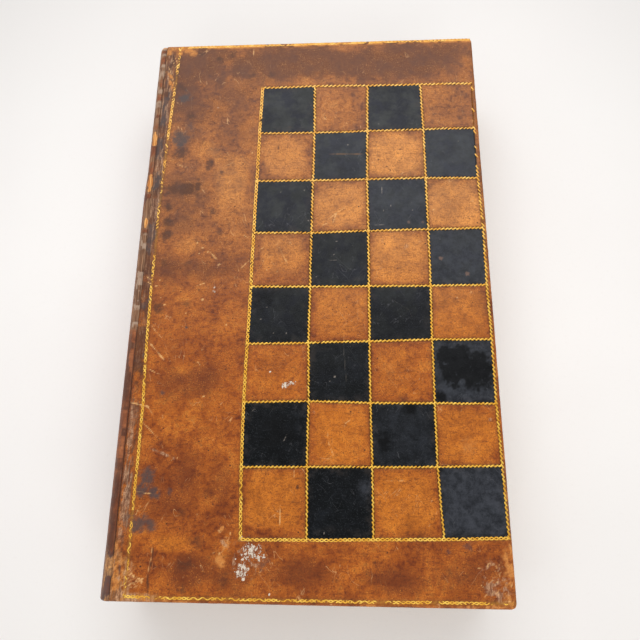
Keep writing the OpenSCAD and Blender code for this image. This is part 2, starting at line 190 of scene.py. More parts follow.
class Mat:
    """A small writer for node materials; positions are in mm of the part's own frame."""

    def __init__(self, name, shift=(0, 0, 0)):
        self.m = bpy.data.materials.new(name)
        self.m.use_nodes = True
        self.t = self.m.node_tree
        self.t.nodes.clear()
        self.out = self.t.nodes.new("ShaderNodeOutputMaterial")
        self.b = self.t.nodes.new("ShaderNodeBsdfPrincipled")
        self.t.links.new(self.b.outputs[0], self.out.inputs[0])
        tc = self.t.nodes.new("ShaderNodeTexCoord")
        vm = self.t.nodes.new("ShaderNodeVectorMath")
        vm.operation = "MULTIPLY_ADD"
        self.t.links.new(tc.outputs["Object"], vm.inputs[0])
        vm.inputs[1].default_value = (1000, 1000, 1000)
        vm.inputs[2].default_value = shift
        self.P = vm.outputs[0]
        sep = self.t.nodes.new("ShaderNodeSeparateXYZ")
        self.t.links.new(self.P, sep.inputs[0])
        self.X, self.Y, self.Z = sep.outputs

    def put(self, socket, value):
        if isinstance(value, bpy.types.NodeSocket):
            self.t.links.new(value, socket)
        elif value is not None:
            socket.default_value = value

    def math(self, op, a, b=None, c=None, clamp=False):
        n = self.t.nodes.new("ShaderNodeMath")
        n.operation = op
        n.use_clamp = clamp
        self.put(n.inputs[0], a)
        self.put(n.inputs[1], b)
        self.put(n.inputs[2], c)
        return n.outputs[0]

    def mul(self, a, b):
        return self.math("MULTIPLY", a, b)

    def add(self, a, b):
        return self.math("ADD", a, b)

    def sub(self, a, b, clamp=False):
        return self.math("SUBTRACT", a, b, clamp=clamp)

    def mx(self, a, b):
        return self.math("MAXIMUM", a, b)

    def scale(self, sx, sy=None, sz=None):
        n = self.t.nodes.new("ShaderNodeVectorMath")
        n.operation = "MULTIPLY"
        self.put(n.inputs[0], self.P)
        n.inputs[1].default_value = (sx, sx if sy is None else sy, sx if sz is None else sz)
        return n.outputs[0]

    def twist(self, deg, sx, sy, sz):
        """Coordinates turned about z, in lumps of sx, sy, sz mm."""
        c, s = math.cos(math.radians(deg)), math.sin(math.radians(deg))
        n = self.t.nodes.new("ShaderNodeCombineXYZ")
        self.put(n.inputs[0], self.mul(self.add(self.mul(self.X, c), self.mul(self.Y, s)), 1 / sx))
        self.put(n.inputs[1], self.mul(self.add(self.mul(self.X, -s), self.mul(self.Y, c)), 1 / sy))
        self.put(n.inputs[2], self.mul(self.Z, 1 / sz))
        return n.outputs[0]

    def noise(self, size, detail=3.0, rough=0.55, dist=0.0, vec=None, stretch=None):
        """Noise whose largest lumps are about size mm; stretch gives separate sizes for x, y, z."""
        n = self.t.nodes.new("ShaderNodeTexNoise")
        if vec is None:
            vec = self.scale(*(1.0 / s for s in stretch)) if stretch else self.scale(1.0 / size)
        self.put(n.inputs["Vector"], vec)
        n.inputs["Scale"].default_value = 1.0
        n.inputs["Detail"].default_value = detail
        n.inputs["Roughness"].default_value = rough
        n.inputs["Distortion"].default_value = dist
        return n.outputs[0]

    def voronoi(self, size, feature="F1", rnd=1.0, vec=None):
        n = self.t.nodes.new("ShaderNodeTexVoronoi")
        n.feature = feature
        self.put(n.inputs["Vector"], vec if vec is not None else self.scale(1.0 / size))
        n.inputs["Scale"].default_value = 1.0
        n.inputs["Randomness"].default_value = rnd
        return n.outputs["Distance"]

    def rng(self, v, a, b, c=0.0, d=1.0, smooth=True):
        n = self.t.nodes.new("ShaderNodeMapRange")
        n.interpolation_type = "SMOOTHSTEP" if smooth else "LINEAR"
        self.put(n.inputs[0], v)
        for k, x in enumerate((a, b, c, d)):
            self.put(n.inputs[k + 1], x)
        return n.outputs[0]

    def mix(self, fac, a, b, blend="MIX"):
        n = self.t.nodes.new("ShaderNodeMix")
        n.data_type = "RGBA"
        n.blend_type = blend
        self.put(n.inputs[0], fac)
        self.put(n.inputs[6], a)
        self.put(n.inputs[7], b)
        return n.outputs[2]

    def fmix(self, fac, a, b):
        n = self.t.nodes.new("ShaderNodeMix")
        n.data_type = "FLOAT"
        self.put(n.inputs[0], fac)
        self.put(n.inputs[2], a)
        self.put(n.inputs[3], b)
        return n.outputs[0]

    def ramp(self, fac, stops):
        n = self.t.nodes.new("ShaderNodeValToRGB")
        self.put(n.inputs[0], fac)
        e = n.color_ramp.elements
        while len(e) < len(stops):
            e.new(0.5)
        for k, (p, c) in enumerate(stops):
            e[k].position = p
            e[k].color = c
        return n.outputs[0]

    def attr(self, name):
        n = self.t.nodes.new("ShaderNodeAttribute")
        n.attribute_name = name
        return n.outputs["Fac"]

    def bump(self, height, distance, strength=1.0, normal=None):
        n = self.t.nodes.new("ShaderNodeBump")
        self.put(n.inputs["Height"], height)
        n.inputs["Distance"].default_value = distance * 0.001
        n.inputs["Strength"].default_value = strength
        if normal is not None:
            self.put(n.inputs["Normal"], normal)
        return n.outputs[0]

    def done(self, color, rough, normal=None, metal=0.0, spec=0.5, **more):
        self.put(self.b.inputs["Base Color"], color)
        self.put(self.b.inputs["Roughness"], rough)
        self.put(self.b.inputs["Metallic"], metal)
        self.put(self.b.inputs["Specular IOR Level"], spec)
        if normal is not None:
            self.put(self.b.inputs["Normal"], normal)
        for key, value in more.items():
            self.put(self.b.inputs[key], value)
        return self.m


# ---------------------------------------------------------------- wander of the tooled lines
GX = np.array([X_C, G0X - 1.70 * SQ] + [G0X + SQ * k for k in range(5)] + [X_H])
GY = np.array([-HALF, G0Y - 0.87 * SQ] + [G0Y + SQ * k for k in range(9)] + [220.0, HALF])
# how far each crossing of the lid's board lies from the even grid, rows from the tail up
CROSSINGS = [
    [(0.3, -2.4), (0.3, -2.4), (0.2, -1.5), (2.2, -0.5), (-0.1, 0.7)],
    [(-1.4, -0.1), (-0.1, 0.3), (0.3, 0.7), (-0.1, 1.1), (-0.9, 2.3)],
    [(-1.9, 0.4), (0, 1.2), (-0.4, 0.1), (0.3, 0.1), (-1.6, -0.1)],
    [(-1.4, -1.1), (-0.5, -0.4), (-0.4, 0.6), (0.6, 2.0), (-1.2, 1.9)],
    [(-0.8, -1.0), (-0.1, -1.4), (-0.1, -1.3), (1.2, -1.2), (-1.7, -0.8)],
    [(-0.5, -0.8), (0.3, -1.3), (0, -0.2), (1.6, 0.5), (-1.1, 1.2)],
    [(0, 0), (1.0, 0), (-0.4, 0.2), (1.7, 0.6), (-2.1, -0.1)],
    [(0.6, 0.1), (1.6, -0.5), (0.6, 0.3), (1.5, 0.9), (-1.8, 1.1)],
    [(1.3, 0.2), (1.5, 0.6), (1.2, 0.1), (0.8, 0), (-0.9, -0.4)],
]
LEFT_LINE = [-1.68, -1.68, -1.68, -1.685, -1.73, -1.742, -1.75, -1.74, -1.71, -1.67, -1.635]


def wander_table(lid):
    dx, dy = np.zeros((len(GY), len(GX))), np.zeros((len(GY), len(GX)))
    if lid:
        for j, row in enumerate(CROSSINGS):
            for i, (a, b) in enumerate(row):
                dx[j + 2, i + 2], dy[j + 2, i + 2] = a, b
        for j, v in enumerate(LEFT_LINE):
            dx[j + 1, 1] = (v + 1.70) * SQ
    else:
        r = np.random.RandomState(11)
        dx[2:11, 2:7] = r.uniform(-1.1, 1.1, (9, 5))
        dy[2:11, 2:7] = r.uniform(-1.1, 1.1, (9, 5))
        dx[1:12, 1] = np.cumsum(r.uniform(-0.5, 0.5, 11))
    for j, k in ((1, 2), (11, 10)):
        dx[j, 2:7] = dx[k, 2:7] * 0.4
    dy[1, 2:7] = [-0.3, -0.1, 0.0, 0.3, 0.6] if lid else [0.2, -0.2, 0.1, 0.0, -0.2]
    dy[2:11, 1] = dy[2:11, 2] * 0.3
    dy[2:11, 7] = dy[2:11, 6]
    return dx, dy


WANDER = {True: wander_table(True), False: wander_table(False)}


def wander(x, y, lid):
    """Where the nominal point (x, y) of a cover really lies."""
    x, y = np.asarray(x, float), np.asarray(y, float)
    xc, yc = np.clip(x, GX[0], GX[-1]), np.clip(y, GY[0], GY[-1])
    i = np.clip(np.searchsorted(GX, xc, side="right") - 1, 0, len(GX) - 2)
    j = np.clip(np.searchsorted(GY, yc, side="right") - 1, 0, len(GY) - 2)
    u = (xc - GX[i]) / (GX[i + 1] - GX[i])
    v = (yc - GY[j]) / (GY[j + 1] - GY[j])
    out = []
    for t in WANDER[lid]:
        out.append((t[j, i] * (1 - u) + t[j, i + 1] * u) * (1 - v) + (t[j + 1, i] * (1 - u) + t[j + 1, i + 1] * u) * v)
    inside = sstep(0, 3, xc - GX[0]) * sstep(0, 2, GX[-1] - xc) * sstep(0, 2, HALF - np.abs(yc))
    seed = 40 if lid else 60
    wob = 0.5 * inside
    return (
        x + out[0] + wob * (fbm(x / 16, y / 16, seed, 2) - 0.5),
        y + out[1] + wob * (fbm(x / 16, y / 16, seed + 3, 2) - 0.5),
    )


def swell(x, y, lid):
    """The cover's slight unevenness, a depth of 0 to 0.3."""
    s = 70 if lid else 80
    return 0.24 * fbm(x / 60, y / 60, s, 3) + 0.06 * vnoise(x / 5, y / 5, s + 5)


def pressed(x, y):
    """Depth pressed by the tools along the nominal border lines."""
    left = np.where(np.abs(y) < 221, np.abs(x - GX[1]), 99.0)
    ends = np.minimum(np.abs(y - GY[1]), np.abs(y - GY[-2])) + np.where(x < GX[1] - 1, 99.0, 0.0)
    board = np.hypot(np.maximum(np.maximum(G0X - x, x - G4X), 0), np.maximum(np.maximum(G0Y - y, y - G8Y), 0))
    d = np.minimum(np.minimum(left, ends), board)
    return 0.24 * np.exp(-((d / 1.3) ** 2))


# ---------------------------------------------------------------- outer cover skin
def ring_profile(head):
    """(r, depth, inward shift) of the turned-over edge beyond the corner's centre line."""
    out = [(a, 0.0, 0.0) for a in (0.0, 0.57, 1.13, 1.7)]
    for k in range(1, 7):
        e = k * math.pi / 12
        out.append((1.7 + RHO * math.sin(e), RHO * (1 - math.cos(e)), 0.0))
    end = 6.2 if head else 5.2
    for k in range(1, 4):
        out.append((3.5, RHO + (end - 0.5 - RHO) * k / 3, 0.0))
    for k in range(1, 4):
        e = k * math.pi / 6
        out.append((3.0 + 0.5 * math.cos(e), end - 0.5 + 0.5 * math.sin(e), 0.0))
    for k in (1, 2):
        out.append((3.0, end, (3.5 if head else 0.1) * k / 2))
    return np.array(out)


H_RING, F_RING = ring_profile(True), ring_profile(False)
KR = len(H_RING)
CX, CY = X_H - R_COR, HALF - R_COR


def spread(marks, step):
    """Values that include every mark, no further apart than step."""
    out = [marks[0]]
    for a, b in zip(marks[:-1], marks[1:]):
        n = max(1, int(math.ceil((b - a) / step)))
        out += [a + (b - a) * k / n for k in range(1, n + 1)]
    return np.array(out)


def cover_skin(lid, mat, body, tray):
    step = (0.95 if lid else 1.7) * 1.0
    roll = X_C + np.array([0.2, 0.26, 0.4, 0.65, 1.0, 1.4, 1.8])
    near = [GX[1] - 1.6, GX[1], GX[1] + 1.6]
    us = np.concatenate([roll, spread([X_C + 2.2, *near, G0X - 1.2, G0X, CX], step)])
    vs = spread([-CY, G0Y, G8Y, CY], step)
    nu, nv = len(us) + KR - 1, len(vs) + 2 * (KR - 1)
    iu, iv = np.meshgrid(np.arange(nu), np.arange(nv), indexing="ij")
    kx = np.maximum(iu - (len(us) - 1), 0)
    ky = np.maximum(np.maximum(iv - (KR - 1 + len(vs) - 1), 0), np.maximum(KR - 1 - iv, 0))
    sy = np.where(iv < KR - 1, -1.0, 1.0)
    x0 = us[np.minimum(iu, len(us) - 1)]
    y0 = vs[np.clip(iv - (KR - 1), 0, len(vs) - 1)]
    k = np.maximum(kx, ky)
    with np.errstate(divide="ignore", invalid="ignore"):
        th = np.where(kx >= ky, math.pi / 4 * ky / np.maximum(kx, 1), math.pi / 2 - math.pi / 4 * kx / np.maximum(ky, 1))
    th = np.where(ky == 0, 0.0, th)
    w = th / (math.pi / 2)
    r = F_RING[k, 0] * (1 - w) + H_RING[k, 0] * w
    d = F_RING[k, 1] * (1 - w) + H_RING[k, 1] * w
    s = F_RING[k, 2] * (1 - w) + H_RING[k, 2] * w
    # the worn edge gives way a little, more at the two free corners
    cxy = (x0 / 6, y0 / 6)
    wear = 0.25 * fbm(*cxy, 91 if lid else 92, 3) + np.where((kx > 0) & (ky > 0), 0.35, 0.0)
    r = r - wear * sstep(0.2, 1.8, d) * (k > 3)
    x = x0 + np.where(kx > 0, r * np.cos(th) - s * (1 - w), 0.0)
    y = y0 + np.where(ky > 0, sy * (r * np.sin(th) - s * w), 0.0)
    xn, yn = x.copy(), y.copy()
    x, y = wander(x, y, lid)
    x = np.where(xn >= X_H - 0.001, xn, np.minimum(x, X_H))
    y = np.clip(np.where(np.abs(yn) >= HALF - 0.001, yn, y), -HALF, HALF)
    flat = 1 - sstep(0, 2.5, d)
    dj = 1.9 * (1 - np.sqrt(np.clip(1 - (np.clip(X_C + 2.2 - xn, 0, 2.0) / 2.0) ** 2, 0, 1)))
    d = d + dj * (1 - d / 6.2) + flat * (swell(x, y, lid) + pressed(xn, yn)) * sstep(1.0, 3.0, xn - X_C)
    d = np.maximum(d, 0.005)
    index = -np.ones((nu, nv), int)
    hole = (xn > G0X + 0.01) & (xn < G4X - 0.01) & (yn > G0Y + 0.01) & (yn < G8Y - 0.01) & (k < 4)
    index[~hole] = np.arange((~hole).sum())
    V = np.stack([x, y, d], -1)[~hole]
    q = np.stack([index[:-1, :-1], index[1:, :-1], index[1:, 1:], index[:-1, 1:]], -1).reshape(-1, 4)
    xm = (xn[:-1, :-1] + xn[1:, 1:]) / 2
    ym = (yn[:-1, :-1] + yn[1:, 1:]) / 2
    in_hole = ((xm > G0X) & (xm < G4X) & (ym > G0Y) & (ym < G8Y) & (k[1:, 1:] < 4) & (k[:-1, :-1] < 4)).ravel()
    quads = q[(q >= 0).all(1) & ~in_hole]
    # bake layout: the outside laid flat
    au = np.concatenate([us, us[-1] + np.cumsum(np.full(KR - 1, 0.75))])
    av = np.concatenate([vs[0] - np.cumsum(np.full(KR - 1, 0.75))[::-1], vs, vs[-1] + np.cumsum(np.full(KR - 1, 0.75))])
    uu = (au - au[0]) / (au[-1] - au[0]) * 0.96
    vv = (av - av[0]) / (av[-1] - av[0])
    UV = np.stack([uu[iu], vv[iv]], -1)[~hole]
    # the pocket that holds the squares
    ig0 = int(np.argmin(np.abs(us - G0X)))
    ig4 = len(us) - 1 + 3
    jg0 = KR - 1 + int(np.argmin(np.abs(vs - G0Y)))
    jg8 = KR - 1 + int(np.argmin(np.abs(vs - G8Y)))
    loop = (
        [(i, jg0) for i in range(ig0, ig4)]
        + [(ig4, j) for j in range(jg0, jg8)]
        + [(i, jg8) for i in range(ig4, ig0, -1)]
        + [(ig0, j) for j in range(jg8, jg0, -1)]
    )
    top = np.array([index[a] for a in loop])
    extra = [V]
    count = len(V)
    mid = np.array([(G0X + G4X) / 2, (G0Y + G8Y) / 2])
    low = V[top].copy()
    low[:, :2] += (mid - low[:, :2]) * 0.0002
    low[:, 2] = POCKET
    bottom = np.arange(count, count + len(low))
    extra.append(low)
    count += len(low)
    nxt = np.roll(np.arange(len(top)), -1)
    wall = np.stack([top, top[nxt], bottom[nxt], bottom], -1)
    # the inside face, hidden by the board under it
    kk = np.arange(KR) / (KR - 1)
    path = np.array([(218.5, 3.0), (220.8, 3.0), (220.8, 5.25), (218.05, 5.25)])
    seg = np.array([0, 2.3, 4.55, 7.3]) / 7.3
    py_, pd_ = np.interp(kk, seg, path[:, 0]), np.interp(kk, seg, path[:, 1])
    rim, B1, B2, B3 = [], [], [], []
    for i in range(nu):  # tail, from the joint to the fore-edge corner
        rim.append((i, 0))
    for j in range(1, nv):
        rim.append((nu - 1, j))
    for i in range(nu - 2, -1, -1):
        rim.append((i, nv - 1))
    for j in range(nv - 2, 0, -1):
        rim.append((0, j))
    for i, j in rim:
        a, b = kx[i, j], ky[i, j]
        sgn = -1.0 if j < KR - 1 else 1.0
        p = np.array([x[i, j], y[i, j], d[i, j]])
        if i == 0:  # joint side
            if b == 0:
                B1.append((X_C + 0.8, p[1], 3.0))
                B2.append((X_C + 1.45, p[1], 3.0))
                B3.append((X_C + 2.65, p[1], 1.15))
            else:
                B1.append((X_C + 0.8, sgn * py_[b], pd_[b]))
                B2.append((X_C + 1.45, sgn * py_[b], pd_[b]))
                B3.append((X_C + 2.65, sgn * (218.5 + 2.3 * b / (KR - 1)), 1.15))
        elif a > 0 and b > 0:  # free corner
            t = th[i, j] / (math.pi / 4)
            rect = (135.6, sgn * (218.5 + 2.3 * t)) if t <= 1 else (CX + (135.6 - CX) * (2 - t), sgn * 220.8)
            f = 0.3 * (1 - w[i, j])
            B1.append((p[0] + (rect[0] - p[0]) * f, p[1] + (rect[1] - p[1]) * f, 5.18 + 0.06 * w[i, j]))
            B2.append((*rect, 5.12 + 0.1 * w[i, j]))
            B3.append((*rect, 1.15))
        elif a > 0:
            B1.append((p[0] - 0.2, p[1], 5.18))
            B2.append((135.6, p[1], 5.12))
            B3.append((135.6, p[1], 1.15))
        else:
            B1.append((max(p[0], X_C + 0.8 + 0.02 * i), p[1], 5.24))
            B2.append((max(p[0], X_C + 1.45 + 0.02 * i), sgn * 220.8, 5.22))
            B3.append((max(p[0], X_C + 2.65 + 0.02 * i), sgn * 220.8, 1.15))
    rings = [np.array([index[a] for a in rim])]
    for B in (B1, B2, B3):
        rings.append(np.arange(count, count + len(B)))
        extra.append(np.array(B))
        count += len(B)
    V = np.concatenate(extra)
    nr = np.roll(np.arange(len(rim)), -1)
    inner = [np.stack([p[nr], p, q2, q2[nr]], -1) for p, q2 in zip(rings[:-1], rings[1:])]
    hid = np.concatenate([UV, np.zeros((len(V) - len(UV), 2))])
    tiny = np.stack([0.975 + 0.02 * (V[:, 0] - X_C) / 270, 0.02 + 0.03 * (V[:, 1] + HALF) / 444], -1)
    faces = [quads, wall[:, ::-1], *inner, rings[-1][None, :], bottom[None, :]]
    uvs = [hid[quads]] + [tiny[f] for f in faces[1:]]
    # a consistent way round for each group
    fixed, fixed_uv = [], []
    def up(f):
        a, b, c = V[f[:, 0]], V[f[:, 1]], V[f[:, 2]]
        return np.cross(b - a, c - a)
    for n, (f, u) in enumerate(zip(faces, uvs)):
        fixed.append(f)
        fixed_uv.append(u)
    # outside quads face away from the board (depth falls outwards)
    m = len(quads) // 2
    if np.sign(up(quads)[:, 2].sum()) > 0:
        fixed[0], fixed_uv[0] = quads[:, ::-1], uvs[0][:, ::-1]
    # orient the rest by the edges they share with their neighbours
    fixed = orient(fixed, fixed_uv)
    P = paint(V[:, 0], V[:, 1], V[:, 2], lid)
    ob = piece(
        f"{tray}_leather", V, fixed[0], body, mat, lid,
        (f"{tray}_cover_leather",), True, P, fixed[1],
    )
    return ob


def orient(groups, uvs):
    """Turns whole groups of faces so that every shared edge is run both ways."""
    done_edges = set()
    def edges(f):
        return np.stack([f, np.roll(f, -1, 1)], -1).reshape(-1, 2)
    out, out_uv = [groups[0]], [uvs[0]]
    done_edges.update(map(tuple, edges(groups[0])))
    waiting = list(zip(groups[1:], uvs[1:]))
    while waiting:
        moved = False
        for n, (f, u) in enumerate(waiting):
            e = edges(f)
            same = sum(tuple(p) in done_edges for p in e[: 4000])
            back = sum((p[1], p[0]) in done_edges for p in e[: 4000])
            if same or back:
                if same > back:
                    f, u = f[:, ::-1], u[:, ::-1]
                out.append(f)
                out_uv.append(u)
                done_edges.update(map(tuple, edges(f)))
                waiting.pop(n)
                moved = True
                break
        if not moved:
            out += [f for f, _ in waiting]
            out_uv += [u for _, u in waiting]
            break
    return out, out_uv


# ---------------------------------------------------------------- squares
def is_black(i, j, lid):
    return (i + j) % 2 == (1 if lid else 0)


def squares(lid, black, mat, body, tray):
    n = int((58 if lid else 30) * (1))
    e = np.linspace(0, 1, n)
    e = np.concatenate([[0, 0.35 / 44.5, 0.8 / 44.5], e[1:-1], [1 - 0.8 / 44.5, 1 - 0.35 / 44.5, 1]])
    n = len(e)
    faces0 = grid_faces(n, n)
    idx = np.arange(n * n).reshape(n, n)
    loop = np.concatenate([idx[:-1, 0], idx[-1, :-1], idx[:0:-1, -1], idx[0, :0:-1]])
    m = len(loop)
    ring = n * n + np.arange(m)
    side = np.stack([loop, np.roll(loop, -1), np.roll(ring, -1), ring], -1)
    Vs, Fq, Fs, Fb, U = [], [], [], [], []
    base, cell = 0, 0
    for i in range(4):
        for j in range(8):
            if is_black(i, j, lid) != black:
                continue
            gx = G0X + SQ * i + 0.03 + (SQ - 0.06) * e
            gy = G0Y + SQ * j + 0.03 + (SQ - 0.06) * e
            X, Y = np.meshgrid(gx, gy, indexing="ij")
            x, y = wander(X, Y, lid)
            edge = np.minimum(np.minimum(X - G0X - SQ * i, G0X + SQ * (i + 1) - X), np.minimum(Y - G0Y - SQ * j, G0Y + SQ * (j + 1) - Y))
            s = 300 + 7 * i + 13 * j + (0 if lid else 500)
            bulge = 0.10 * (1 - sstep(0, 14, edge)) * (0.4 + vnoise(x / 9, y / 9, s))
            d = swell(x, y, lid) + 0.04 + 0.28 * np.exp(-((edge / 0.9) ** 2)) + bulge
            d = np.minimum(d, POCKET - 0.12)
            top = np.stack([x, y, d], -1).reshape(-1, 3)
            low = top[loop].copy()
            low[:, 2] = POCKET - 0.03
            Vs += [top, low]
            Fq.append(faces0 + base)
            Fs.append(side + base)
            Fb.append((ring + base)[None, :])
            cu, cv = (cell % 4) / 4, (cell // 4) / 4
            uv = np.stack(np.meshgrid(cu + 0.008 + 0.234 * e, cv + 0.008 + 0.234 * e, indexing="ij"), -1).reshape(-1, 2)
            lowuv = uv[loop] + 0.004 * np.sign(uv[loop] - [cu + 0.125, cv + 0.125])
            U += [uv, lowuv]
            base += n * n + m
            cell += 1
    V, UV = np.concatenate(Vs), np.concatenate(U)
    quads, sides, bots = np.concatenate(Fq), np.concatenate(Fs), np.concatenate(Fb)
    sides = sides[:, ::-1]
    a, b, c = V[quads[0, 0]], V[quads[0, 1]], V[quads[0, 2]]
    spot = UV[bots]
    spot = spot * 0 + UV[bots[:, :1]] + 0.001 * (spot - spot.mean(1, keepdims=True))
    P = paint(V[:, 0], V[:, 1], V[:, 2], lid)
    groups, uvs = orient([quads, sides, bots], [UV[quads], UV[sides], spot])
    name = f"{tray}_black_inlay" if black else f"{tray}_natural_squares"
    node = f"{tray}_black_squares" if black else f"{tray}_cover_leather"
    return piece(
        name, V, groups, body, mat, lid, (node,), True, P, uvs
    )


